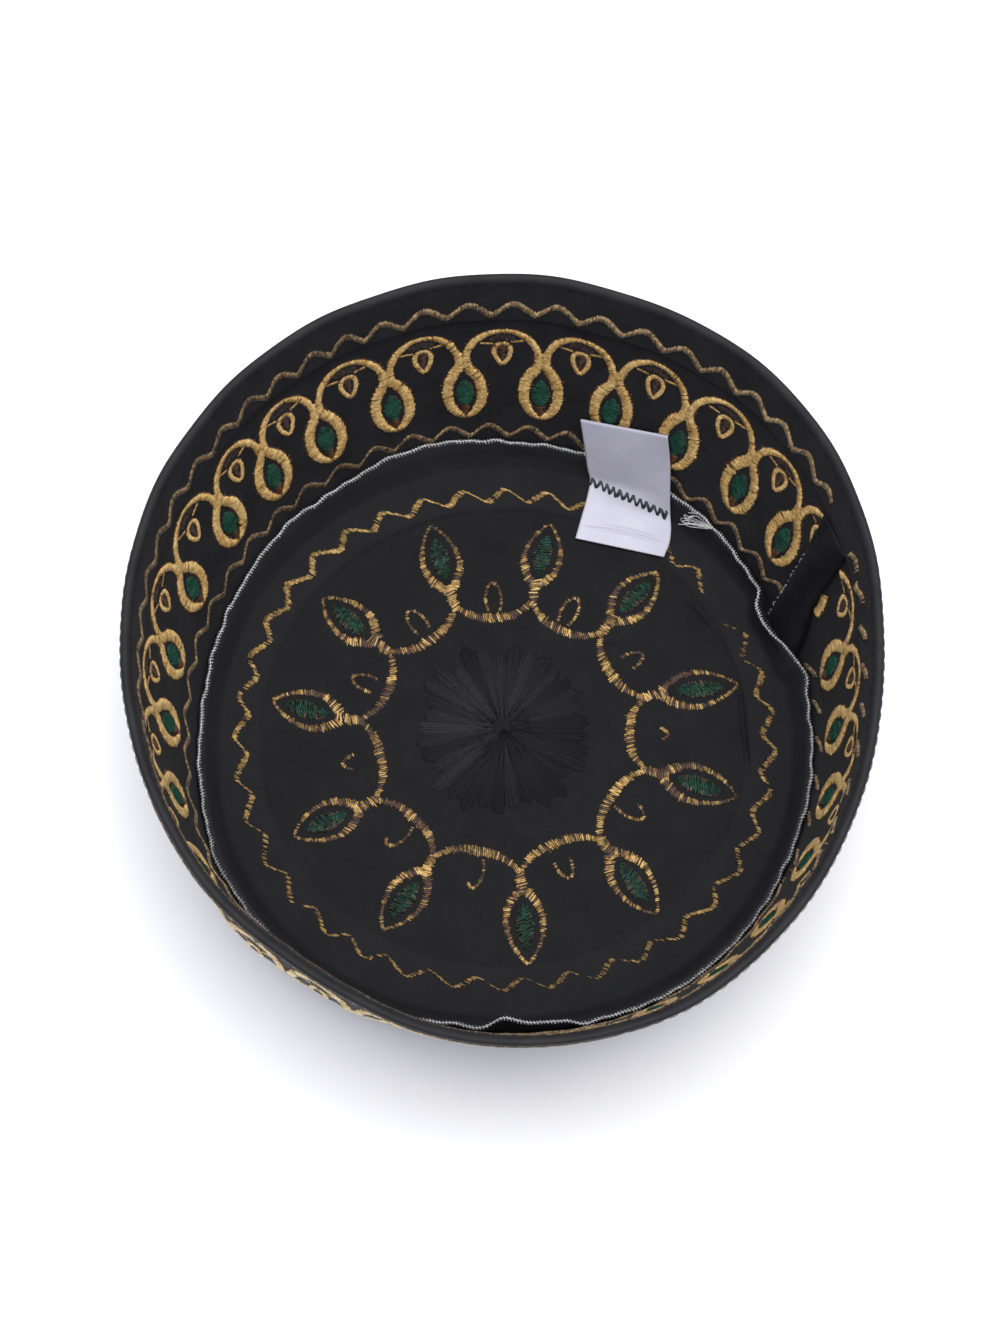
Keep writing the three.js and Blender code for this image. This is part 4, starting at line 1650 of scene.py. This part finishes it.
@dataclass(frozen=True)
class CrownPattern:
    """Eleven leaves on a scalloped ring, a bud in each scallop, inside a zigzag circle."""

    crown: Crown
    face: Face
    leaf_feet: Row = (15.5, 48.2, 78.9, 109.8, 142.6, 174.2, 208.6, 241.7, 276.3, 310.7, 345.1)
    leaf_tips: Row = (13.0, 48.4, 78.5, 108.5, 141.6, 171.2, 207.4, 239.8, 275.8, 308.8, 344.2)
    tip_radii: Row = (58.9, 57.3, 56.9, 58.3, 57.5, 57.5, 57.4, 57.8, 58.9, 58.9, 58.9)
    stem_radius: float = 35.8
    leaf_foot: float = 40.3
    ring_radius: float = 30.8
    leaf_side: Triples = (
        (0.0, 0.7, 2.4), (0.1, 2.3, 2.4), (0.27, 4.0, 2.2), (0.45, 4.5, 1.8), (0.68, 3.7, 1.5),
        (0.87, 2.0, 1.2), (1.0, 0.1, 1.1),
    )
    bud_side: Pairs = (
        (40.3, 0.0), (39.7, 0.8), (38.4, 1.6), (36.4, 2.0), (34.2, 1.8), (32.6, 1.3),
    )
    bud_shares: Pairs = (
        (0.6, 0.7), (1.0, 1.0), (1.0, 1.0), (0.9, 0.9), (0.8, 0.8), (0.5, 0.4), (0.3, 1.0), (0.3, 1.0),
        (0.7, 0.7), (1.0, 0.5), (0.3, 0.4),
    )
    circle_waves: int = 38
    circle_half: float = 1.95
    circle_valley: float = 0.42
    circle_width: float = 1.9
    circle_toward: Pair = (0.906, -0.42)
    circle_drift: AngleTable = AngleTable(
        angles=(0, 45, 90, 117, 135, 162, 195, 215, 230, 245, 270, 295, 340),
        values=(0.8, 0.0, 0.0, -0.9, -2.1, -3.3, -3.8, -2.5, -1.7, -2.0, 0.0, 1.3, 1.5),
    )
    corner_steps: int = 13
    worn_tone: Pair = (0.4, 1.45)
    worn_most: float = 0.95
    clump: float = 1.1
    circle_radius: AngleTable = AngleTable(
        angles=(0, 20, 42, 65, 90, 110, 125, 137, 150, 165, 182, 205, 225, 245, 270, 290, 315, 340),
        values=(64.8, 63.6, 63.3, 63.3, 63.5, 63.9, 64.9, 65.2, 64.5, 64.2, 64.5, 65.1, 65.3, 64.6, 63.8,
                64.5, 65.7, 65.1),
    )
    # The share of the circle's stitches worn away, round the crown.
    bare_and_painted_light: AngleTable = AngleTable(
        angles=(0, 12, 18, 24, 38, 43, 48, 60, 68, 80, 150, 166, 178, 195, 207, 225, 245, 265, 290, 320,
                335, 348),
        values=(0.15, 0.2, 0.45, 0.8, 0.85, 0.45, 0.8, 0.8, 0.3, 0.0, 0.0, 0.2, 0.4, 0.55, 0.55, 0.5, 0.45,
                0.5, 0.65, 0.6, 0.6, 0.35),
    )
    circle_tone: AngleTable = AngleTable(
        angles=(0, 40, 75, 100, 200, 225, 250, 290, 312, 335, 352),
        values=(0.55, 0.65, 0.7, 0.82, 0.8, 0.6, 0.5, 0.45, 0.65, 0.7, 0.6),
    )
    gone_from: float = 0.6
    gone_rate: float = 1.6
    worn_lost: Pair = (1.1, 0.75)
    worn_narrowing: float = 0.3
    stem_inset: float = 1.2
    neck_length: float = 1.4
    neck_widths: Pair = (2.4, 3.4)
    bold_foot: Pair = (0.95, 1.35)
    bold_tip: Pair = (0.5, 0.85)
    vein: Pair = (0.16, 0.66)
    vein_width: float = 5.0
    vein_bed: float = 5.4
    ring_widths: Pair = (2.9, 1.4)

    def needle(self, seed: int, **changes: float) -> Needle:
        """Gives the needle for this face: inside, the work is broken and dark threads cross it.

        Args:
            seed: The seed of its random draws.
            changes: Values that differ from this face's own.

        Returns:
            The needle.
        """
        if self.face is Face.INSIDE:
            base = {"ragged": 0.17, "missed": 0.06, "dark": 0.14, "patchy": 0.55, "patch": 1.0}
        else:
            base = {"ragged": 0.05, "missed": 0.0, "dark": 0.05}
        return Needle(seed=seed, **{**base, **changes})

    def flat(self, angle: Array | float, radius: Array | float) -> Array:
        """Turns angles and radii into flat places on the crown."""
        return heading(np.asarray(angle, float))[..., :2] * np.asarray(radius, float)[..., None]

    def column(
        self, groups: Groups, needle: Needle, line: Array, widths: Array, tone: Array | float = 1.0
    ) -> None:
        """Stitches one gold column over a slightly wider bed of brown thread, with worn clumps inside.

        Args:
            groups: Where its stitches go.
            needle: The gold needle.
            line: Points of the column.
            widths: Its width at each point.
            tone: How bright it is at each point.
        """
        bed = self.needle(24, thread=0.45, lift=0.16, pitch=0.5, missed=0.0, patchy=0.5, dark=0.1)
        wear = np.zeros(len(line))
        if self.face is Face.INSIDE:
            rng = np.random.default_rng(int(abs(line[0, 0] * 57 + line[-1, 1] * 23)))
            along = np.arange(len(line)) * SAMPLE
            knots = np.arange(0.0, along[-1] + 2 * self.clump, self.clump)
            wear = self.worn_most * np.interp(along, knots, rng.random(len(knots))) ** 1.5
            tone = tone * np.interp(along, knots, rng.uniform(*self.worn_tone, len(knots)))
        groups["gold"].append(needle.satin(line, widths, wear, tone=tone))
        beside = -0.2 if self.face is Face.INSIDE else 0.5
        groups["brown"].append(bed.satin(line, np.asarray(widths) + beside))

    def leaf(self, groups: Groups, number: int) -> None:
        """Stitches one leaf and its stem.

        Args:
            groups: Where its stitches go.
            number: The leaf's number, from 0.
        """
        gold = self.needle(21, thread=0.5)
        green = self.needle(23, dark=0.12, ragged=0.1, missed=0.0, patchy=0.5)
        rng = np.random.default_rng(number)
        stem = self.flat(self.leaf_feet[number], self.stem_radius - self.stem_inset)
        foot = self.flat(self.leaf_feet[number], self.leaf_foot)
        tip = self.flat(self.leaf_tips[number], self.tip_radii[number])
        length = float(np.linalg.norm(tip - foot))
        axis = (tip - foot) / length
        across = np.array([-axis[1], axis[0]])
        for side in (-1, 1):
            knots = [
                [*(foot + axis * share * length + across * side * half), width]
                for share, half, width in self.leaf_side
            ]
            line = rounded(knots, SAMPLE)
            bold = np.linspace(rng.uniform(*self.bold_foot), rng.uniform(*self.bold_tip), len(line))
            self.column(groups, gold, line[:, :2], line[:, 2] * np.sqrt(bold), bold)
        neck = rounded([stem, foot, foot + axis * self.neck_length], SAMPLE)
        self.column(groups, gold, neck, np.linspace(*self.neck_widths, len(neck)), 1.25)
        share = np.linspace(0.03, 0.97, 30)
        start, reach = self.vein
        vein = foot[None] + axis[None] * (length * (start + reach * share))[:, None]
        swell = np.sin(np.pi * share) ** 0.75
        groups["green"].append(green.satin(vein, self.vein_width * swell, tone=0.5))
        bed = self.needle(25, thread=0.42, lift=0.16, missed=0.0, ragged=0.04)
        groups["brown"].append(bed.satin(vein, self.vein_bed * swell))

    def bud(self, groups: Groups, angle: float, shares: Pair) -> None:
        """Stitches one bud, whose two sides meet at its point and often break off.

        Args:
            groups: Where its stitches go.
            angle: The bud's direction.
            shares: How much of each side is left.
        """
        fine = self.needle(32, thread=0.42, lift=0.32, missed=0.1, dark=0.3, pitch=0.36)
        axis = self.flat(angle, 1.0)
        across = np.array([-axis[1], axis[0]])
        for side, share in zip((-1, 1), shares):
            line = rounded([axis * radius + across * side * half for radius, half in self.bud_side], SAMPLE)
            kept = len(line) if self.face is Face.OUTSIDE else max(4, int(len(line) * share))
            self.column(groups, fine, line[:kept], np.full(kept, 1.0), 0.85)

    def scallop(self, groups: Groups, first: float, last: float) -> None:
        """Stitches one arc of the ring.

        Args:
            groups: Where its stitches go.
            first: The angle of the stem where it starts.
            last: The angle of the stem where it ends.
        """
        share = np.linspace(0, 1, 90)
        deep = np.abs(2 * share - 1) ** 3
        radius = self.ring_radius + (self.stem_radius - self.ring_radius) * deep
        line = self.flat(first + (last - first) * share, radius)
        broad, narrowing = self.ring_widths
        gold = self.needle(31, lift=0.5, pitch=0.5, thread=0.58)
        self.column(groups, gold, line, broad - narrowing * np.sqrt(deep))

    def circle(self) -> Stitches:
        """Stitches the zigzag circle, whose stitches all lie one way, so one leg of each wave is bold.

        Returns:
            The stitches. Inside, some whole legs are gone and others are thin.
        """
        angle = np.arange(0, 360, 0.15)
        drifted = (angle - 90.0 - self.circle_drift.at(angle)) * self.circle_waves / 360.0
        share = np.mod(drifted, 1.0)
        inward = share < self.circle_valley
        climb = np.where(inward, share / self.circle_valley, (1 - share) / (1 - self.circle_valley))
        bend = np.ones(self.corner_steps) / self.corner_steps
        wave = np.convolve(np.tile(1 - climb, 3), bend, mode="same")[len(angle) : 2 * len(angle)]
        radius = self.circle_radius.at(angle) - self.circle_half + 2 * self.circle_half * wave
        wear = np.zeros_like(angle) if self.face is Face.OUTSIDE else np.clip(self.bare_and_painted_light.at(angle), 0.0, 1.0)
        leg = 2 * np.floor(drifted).astype(int) + inward
        chance = np.random.default_rng(47).random(4 * self.circle_waves)[leg - leg.min()]
        gone = chance < self.gone_rate * (wear - self.gone_from)
        line = self.flat(angle, radius)
        run = np.gradient(line, axis=0)
        bold = np.abs(run[:, 0] * self.circle_toward[1] - run[:, 1] * self.circle_toward[0])
        bold /= np.linalg.norm(run, axis=1)
        needle = self.needle(41, thread=0.44, lift=0.3, missed=0.02, patchy=0.5)
        width = self.circle_width * (1 - self.worn_narrowing * wear)
        most, saved = self.worn_lost
        lost = np.where(gone, 1.0, wear * (most - saved * bold))
        return needle.satin(line, width, lost, np.array(self.circle_toward), self.circle_tone.at(angle))

    def build(self, threads: dict[str, Material]) -> None:
        """Lays the whole pattern on its face of the crown.

        Args:
            threads: Materials by thread name.
        """
        surface = self.crown.place if self.face is Face.INSIDE else self.crown.form.outside_crown
        groups: Groups = {"gold": [self.circle()], "green": [], "brown": []}
        feet = [*self.leaf_feet, self.leaf_feet[0] + 360]
        for number, (first, last) in enumerate(zip(feet, feet[1:])):
            self.leaf(groups, number)
            self.scallop(groups, first, last)
            self.bud(groups, (first + last) / 2, self.bud_shares[number])
        # Inside, the gold is the worn thread painted darker, as painted shade; outside, the thread painted
        # pale, as painted highlight.
        gold = "worn_and_shaded_gold" if self.face is Face.INSIDE else "bright_gold"
        for colour, stitches in groups.items():
            thread = threads[gold if colour == "gold" else colour]
            dress(Stitches.join(stitches).laid(f"crown_{colour}_{self.face.value}", surface, thread))


@dataclass(frozen=True)
class Rosette:
    """Broad black rays in the middle of the crown, sheaves of long stitches that lie side by side.

    The rays round one side are painted paler, as painted sheen for filament that runs across the light.
    """

    crown: Crown
    face: Face
    centre: Pair = (-0.3, 1.6)
    stitches: int = 420
    rays: int = 33
    reach: float = 23.0
    thread: float = 0.62
    lift: float = 0.07
    near: Pair = (1.0, 9.0)
    length_vary: Pair = (0.88, 1.04)
    rounding: float = 0.09
    brightness: float = 0.52
    painted_sheen: float = 0.3
    painted_sheen_angle: float = 150.0
    own_shine: float = 0.3
    side_dimming: float = 0.15
    stations: Row = (0.04, 0.2, 0.36, 0.52, 0.68, 0.84, 0.96)

    def build(self, finish: Material) -> None:
        """Builds the rays.

        Args:
            finish: The thread's material.
        """
        rng = np.random.default_rng(17)
        count, centre = self.stitches, np.array(self.centre)
        middle = 360 * (np.arange(count) + rng.uniform(-0.4, 0.4, count)) / count
        ray = middle / 360 * self.rays
        number = np.minimum(ray.astype(int), self.rays - 1)
        off = np.abs(ray - number - 0.5) * 2
        own_tone = rng.uniform(-self.own_shine, self.own_shine, self.rays)[number]
        own_length = rng.uniform(*self.length_vary, self.rays)[number]
        # Painted sheen: the rays are paler round one side of the rosette.
        bright = self.brightness + self.painted_sheen * np.cos(np.radians(middle - self.painted_sheen_angle)) + own_tone
        bright = bright - self.side_dimming * off**2
        long = self.reach * own_length * (1 - self.rounding * off**2) * rng.uniform(0.97, 1.03, count)
        near = rng.uniform(*self.near, count)
        across = heading(middle)[:, :2]
        widths, lifts = np.full(count, self.thread), self.lift * rng.uniform(0.8, 1.2, count)
        starts, ends = centre + across * near[:, None], centre + across * long[:, None]
        stitches = Stitches(starts, ends, widths, lifts, np.clip(bright, 0.1, 1.0))
        surface = self.crown.place if self.face is Face.INSIDE else self.crown.form.outside_crown
        dress(stitches.laid(f"rosette_{self.face.value}", surface, finish, self.stations))


@dataclass(frozen=True)
class TopStitching:
    """The row of straight stitches that holds the folded rim, seen on both faces."""

    form: CapForm
    down: float = 1.5
    stitch: float = 2.4
    space: float = 0.5

    def build(self, finish: Material) -> None:
        """Builds both faces of the row.

        Args:
            finish: The thread's material.
        """
        along = np.radians(np.linspace(0, 360, 1441)) * self.form.pattern_radius
        path = np.stack([along, np.full_like(along, self.down)], axis=-1)
        needle = Needle(seed=51, thread=0.34, lift=0.16)
        for face, surface in ((Face.INSIDE, self.form.inside_wall), (Face.OUTSIDE, self.form.outside_wall)):
            stitches = needle.running(path, self.stitch, self.space)
            dress(stitches.laid(f"top_stitching_{face.value}", surface, finish, (0.15, 0.5, 0.85)))


@dataclass(frozen=True)
class RibbonLabel:
    """A blank ribbon, sewn across the raw edges with a zigzag: half stands up, half lies over the crown."""

    left: Triples = (
        (19.2, 76.2, 20.6), (20.3, 72.3, 14.2), (21.2, 68.9, 8.0), (21.9, 66.7, 4.9), (21.1, 62.6, 3.6),
        (19.7, 57.6, 2.8), (18.2, 52.0, 2.5),
    )
    right: Triples = (
        (40.5, 69.4, 25.8), (41.4, 65.2, 17.6), (41.6, 60.4, 9.4), (41.8, 57.4, 5.1), (42.0, 54.0, 3.7),
        (41.6, 50.6, 2.9), (40.2, 47.0, 2.5),
    )
    thickness: float = 0.3
    across: int = 44
    along: int = 90
    width: float = 22.7
    length: float = 34.6
    stitch_left: float = 18.9
    stitch_right: float = 24.0
    stitch_half: float = 1.45
    stitch_period: float = 1.9
    stitch_rows: Pairs = ((0.0, 1.0), (0.15, 0.7))
    stitch_width: float = 0.6
    stitch_lift: float = 0.32
    bow: float = 0.5
    crease: float = 0.9
    crease_bend: float = 0.03
    crease_size: float = 1.1
    crease_reach: float = 0.014
    curl: float = 0.25
    curl_reach: float = 0.012
    selvedge: float = 0.06
    selvedge_reach: float = 0.03

    def grid(self, side: float) -> Array:
        """Lays out one face of the ribbon.

        Args:
            side: 1 for the face that shows, -1 for the back.

        Returns:
            A grid of points, from the standing edge to the lying edge.
        """
        edges = []
        for knots in (self.left, self.right):
            line = rounded(knots, 0.2)
            edges.append(resampled(line, np.linspace(0, 1, len(line)), np.linspace(0, 1, self.along)))
        along, across = np.linspace(0, 1, self.along)[:, None], np.linspace(0, 1, self.across)[None]
        share = across[..., None]
        flat = edges[0][:, None] * (1 - share) + edges[1][:, None] * share
        run, over = np.gradient(flat, axis=0), np.gradient(flat, axis=1)
        normal = np.cross(over, run)
        normal /= np.linalg.norm(normal, axis=2, keepdims=True)
        normal *= np.sign(normal[-1, 0, 2])
        hump = np.sin(np.pi * across)
        bow = self.bow * hump * np.sin(np.pi * np.clip(along * self.length / self.stitch_left, 0, 1))
        off = (along - self.crease + self.crease_bend * hump) / self.crease_reach
        fade = np.clip(1.3 - 2.6 * np.abs(across - 0.5), 0, 1)
        fold = self.crease_size * off * np.exp(-(off**2)) * fade
        curl = -self.curl * np.clip(1 - along / self.curl_reach, 0, 1) ** 2
        sides = (across, 1 - across)
        selvedge = self.selvedge * sum(np.exp(-((way / self.selvedge_reach) ** 2)) for way in sides)
        return flat + normal * (bow + fold + curl + side * (self.thickness / 2 + selvedge))[..., None]

    def place(self, across: Array, along: Array, lift: Array) -> Array:
        """Places a point of needlework on the ribbon.

        Args:
            across: Distances from the left edge.
            along: Distances from the standing edge.
            lift: Heights above the ribbon.

        Returns:
            Points in the row frame.
        """
        face, back = self.grid(1.0), self.grid(-1.0)
        outward = (face - back) / np.linalg.norm(face - back, axis=2, keepdims=True)
        row = np.clip(np.asarray(along) / self.length, 0, 1) * (self.along - 1)
        column = np.clip(np.asarray(across) / self.width, 0, 1) * (self.across - 1)
        top = np.minimum(row.astype(int), self.along - 2)
        left = np.minimum(column.astype(int), self.across - 2)
        down, over = (row - top)[:, None], (column - left)[:, None]
        made = 0.0
        for line, much in ((top, 1 - down), (top + 1, down)):
            for spot, part in ((left, 1 - over), (left + 1, over)):
                made = made + much * part * (face[line, spot] + outward[line, spot] * lift[:, None])
        return made

    def build(self, finish: Material, thread: Material) -> None:
        """Builds the ribbon and the zigzag that holds it.

        Args:
            finish: The ribbon's material.
            thread: The thread's material.
        """
        face, back = self.grid(1.0), self.grid(-1.0)
        count = self.along * self.across
        points = np.stack([face, back])
        quads = grid_faces(self.along, self.across, False, False)
        index = np.arange(count).reshape(self.along, self.across)
        border = np.concatenate([index[0, :-1], index[:-1, -1], index[-1, :0:-1], index[:0:-1, 0]])
        after = np.roll(border, -1)
        rim = np.stack([border, after, after + count, border + count], axis=-1)
        faces = [np.vstack([quads, quads[:, ::-1] + count, rim])]
        row, column = np.divmod(np.tile(np.arange(count), 2), self.across)
        wide, long = column / (self.across - 1) * self.width, row / (self.along - 1) * self.length
        texture = np.stack([wide, long], axis=-1)
        ribbon = add_mesh("ribbon_label", points, faces, finish, texture)
        dress(ribbon, ("label",))
        rng = np.random.default_rng(29)
        lines = []
        for shift, share in self.stitch_rows:
            knots = np.arange(0.1 + shift, self.width, self.stitch_period / 2)
            size, half = len(knots), self.stitch_half * share
            middle = self.stitch_left + (self.stitch_right - self.stitch_left) * knots / self.width
            sides = np.where(np.arange(size) % 2 == 0, half, -half) + rng.normal(0, 0.12, size)
            lines.append(np.stack([knots + rng.normal(0, 0.1, size), middle + sides], axis=-1))
        starts, ends = np.vstack([line[:-1] for line in lines]), np.vstack([line[1:] for line in lines])
        size = len(starts)
        widths, lifts = np.full(size, self.stitch_width), np.full(size, self.stitch_lift)
        stitches = Stitches(starts, ends, widths, lifts, rng.uniform(0.1, 0.7, size))
        dress(stitches.laid("label_zigzag", self.place, thread, (0.12, 0.5, 0.88)))


@dataclass(frozen=True)
class ThreadTail:
    """The loose end of the overlock thread, a flat bunch of loops beside the label."""

    edge: SeamEdge
    loops: int = 6
    knot_angle: float = 45.0
    knot_inward: float = 0.9
    bunch_angle: float = 50.8
    bunch_inward: Pair = (1.2, 5.2)
    bunch_vary: Pair = (-1.6, 0.6)
    loop_along: Row = (0.0, 0.45, 0.9, 1.08, 0.9, 0.45, 0.05)
    loop_across: Row = (0.0, 0.5, 0.95, 1.0, 0.95, 0.5, 0.0)
    crossings: int = 3
    crossing_back: Row = (0.0, 0.12, 0.25)
    crossing_inward: Row = (0.8, 0.0, -0.9)
    thread: float = 0.1
    smooth: float = 0.35

    def build(self, finish: Material) -> None:
        """Builds the bunch.

        Args:
            finish: The thread's material.
        """
        rng = np.random.default_rng(41)
        low, high = self.bunch_inward
        span = self.bunch_angle - self.knot_angle
        along, across = np.array(self.loop_along), np.array(self.loop_across)
        paths = []
        for _ in range(self.loops):
            first, last = np.sort(rng.uniform(low, high, 2))
            far = self.bunch_angle + rng.uniform(*self.bunch_vary)
            angle = self.knot_angle + (far - self.knot_angle) * along
            reach = np.repeat([first, (first + last) / 2, last], [3, 1, 3])
            inward = self.knot_inward + across * (reach - self.knot_inward)
            share = 0.98 + rng.normal(0, 0.04, len(along))
            inward = inward + rng.normal(0, 0.12, len(along))
            paths.append(rounded(self.edge.place(angle, share, inward), self.smooth))
        for inward in np.linspace(low, high, self.crossings):
            angle = self.bunch_angle - span * np.array(self.crossing_back) * rng.uniform(0.6, 1.4)
            bent = inward + np.array(self.crossing_inward)
            paths.append(rounded(self.edge.place(angle, np.ones_like(angle), bent), self.smooth))
        points, faces, shade = Thread(radius=self.thread).tube(paths)
        dress(add_mesh("thread_tail", points, faces, finish, shade=shade))


@dataclass(frozen=True)
class Studio:
    """A pale floor, soft light and the camera that looks down into the cap."""

    camera_place: Triple = (0.55, -341.7, 941.3)
    camera_aim: Triple = (-0.5, 18.1, 1.6)
    focal_pixels: float = 4084.0
    image_height: float = 1333.0
    sensor: float = 36.0
    floor_size: float = 6.0
    floor_depth: float = 20.0
    lit_height: float = 0.02
    softboxes: tuple[tuple[str, Triple, float, float], ...] = (
        ("softbox_above", (0.1, 0.1, 1.6), 1.8, 42.0),
        ("softbox_front", (0.3, -1.6, 1.2), 0.8, 3.0),
    )
    sky_colour: str = "#e4e8ff"
    sky: float = 0.6

    def floor(self) -> None:
        """Lays the floor."""
        half = self.floor_size / MM / 2
        corners = np.array([[-half, -half, 0], [half, -half, 0], [half, half, 0], [-half, half, 0]], float)
        thick = np.vstack([corners, corners - [0, 0, self.floor_depth]])
        sides = [[i, (i + 1) % 4, (i + 1) % 4 + 4, i + 4] for i in range(4)]
        faces = np.array([[3, 2, 1, 0], [4, 5, 6, 7], *sides])
        made = add_mesh("studio_floor", thick, [faces], BackdropPaper().material(), smooth=False)

    def light(self, name: str, place: Sequence[float], size: float, power: float) -> None:
        """Hangs one square softbox that faces the cap.

        Args:
            name: The light's name.
            place: Where it hangs, in metres.
            size: Its side, in metres.
            power: Its power, in watts.
        """
        data = bpy.data.lights.new(name, "AREA")
        data.shape, data.size, data.energy = "SQUARE", size, power
        made = bpy.data.objects.new(name, data)
        made.location = place
        made.rotation_mode = "QUATERNION"
        aim = Vector((0, 0, self.lit_height))
        made.rotation_quaternion = (aim - Vector(place)).to_track_quat("-Z", "Y")
        bpy.context.scene.collection.objects.link(made)

    def camera(self) -> None:
        """Sets up the camera."""
        data = bpy.data.cameras.new("studio_camera")
        data.sensor_width = self.sensor
        data.lens = self.focal_pixels / self.image_height * self.sensor
        data.clip_start, data.clip_end = 0.05, 20.0
        made = bpy.data.objects.new("studio_camera", data)
        place, aim = Vector(self.camera_place) * MM, Vector(self.camera_aim) * MM
        made.location = place
        made.rotation_mode = "QUATERNION"
        made.rotation_quaternion = (aim - place).to_track_quat("-Z", "Y")
        bpy.context.scene.collection.objects.link(made)
        bpy.context.scene.camera = made

    def build(self) -> None:
        """Builds the whole studio."""
        self.camera()
        self.floor()
        for name, place, size, power in self.softboxes:
            self.light(name, place, size, power)
        world = bpy.data.worlds.new("studio_sky")
        world.use_nodes = True
        sky = world.node_tree.nodes["Background"]
        sky.inputs["Color"].default_value = linear(self.sky_colour)
        sky.inputs["Strength"].default_value = self.sky
        bpy.context.scene.world = world
        bpy.context.scene.view_settings.view_transform = "Standard"


def main() -> None:
    """Builds the studio, then the cap from its cloth to its last thread."""
    logging.basicConfig(level=logging.INFO, format="%(name)s: %(message)s")
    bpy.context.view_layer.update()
    Studio().build()
    low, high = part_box("side_band")
    form = CapForm(seam_height=low.z / MM, rim_height=high.z / MM)
    edge = SeamEdge(form)
    crown = Crown(form, edge)
    fold = EDGE_SATIN.material()
    black, white, grey = (thread.material() for thread in (BLACK_THREAD, WHITE_THREAD, GREY_THREAD))
    threads = {
        "gold": GOLD_THREAD.material(),
        "worn_and_shaded_gold": WORN_AND_SHADED_THREAD.material(),
        "bright_gold": BRIGHT_THREAD.material(),
        "old_gold": DULL_THREAD.material(),
        "green": GREEN_THREAD.material(),
        "brown": BROWN_THREAD.material(),
    }
    SideWall(form).build(BAND_SATIN.material())
    crown.build(CROWN_SATIN.material())
    edge.build(fold)
    Overlock(edge).build(white)
    ClosingSeam(form).build(fold, grey)
    for face in Face:
        BandPattern(form, face).build(threads)
        CrownPattern(crown, face).build(threads)
        Rosette(crown, face).build(black)
    TopStitching(form).build(black)
    RibbonLabel().build(RIBBON_SATIN.material(), NAVY_THREAD.material())
    ThreadTail(edge).build(white)


if __name__ == "__main__":
    main()
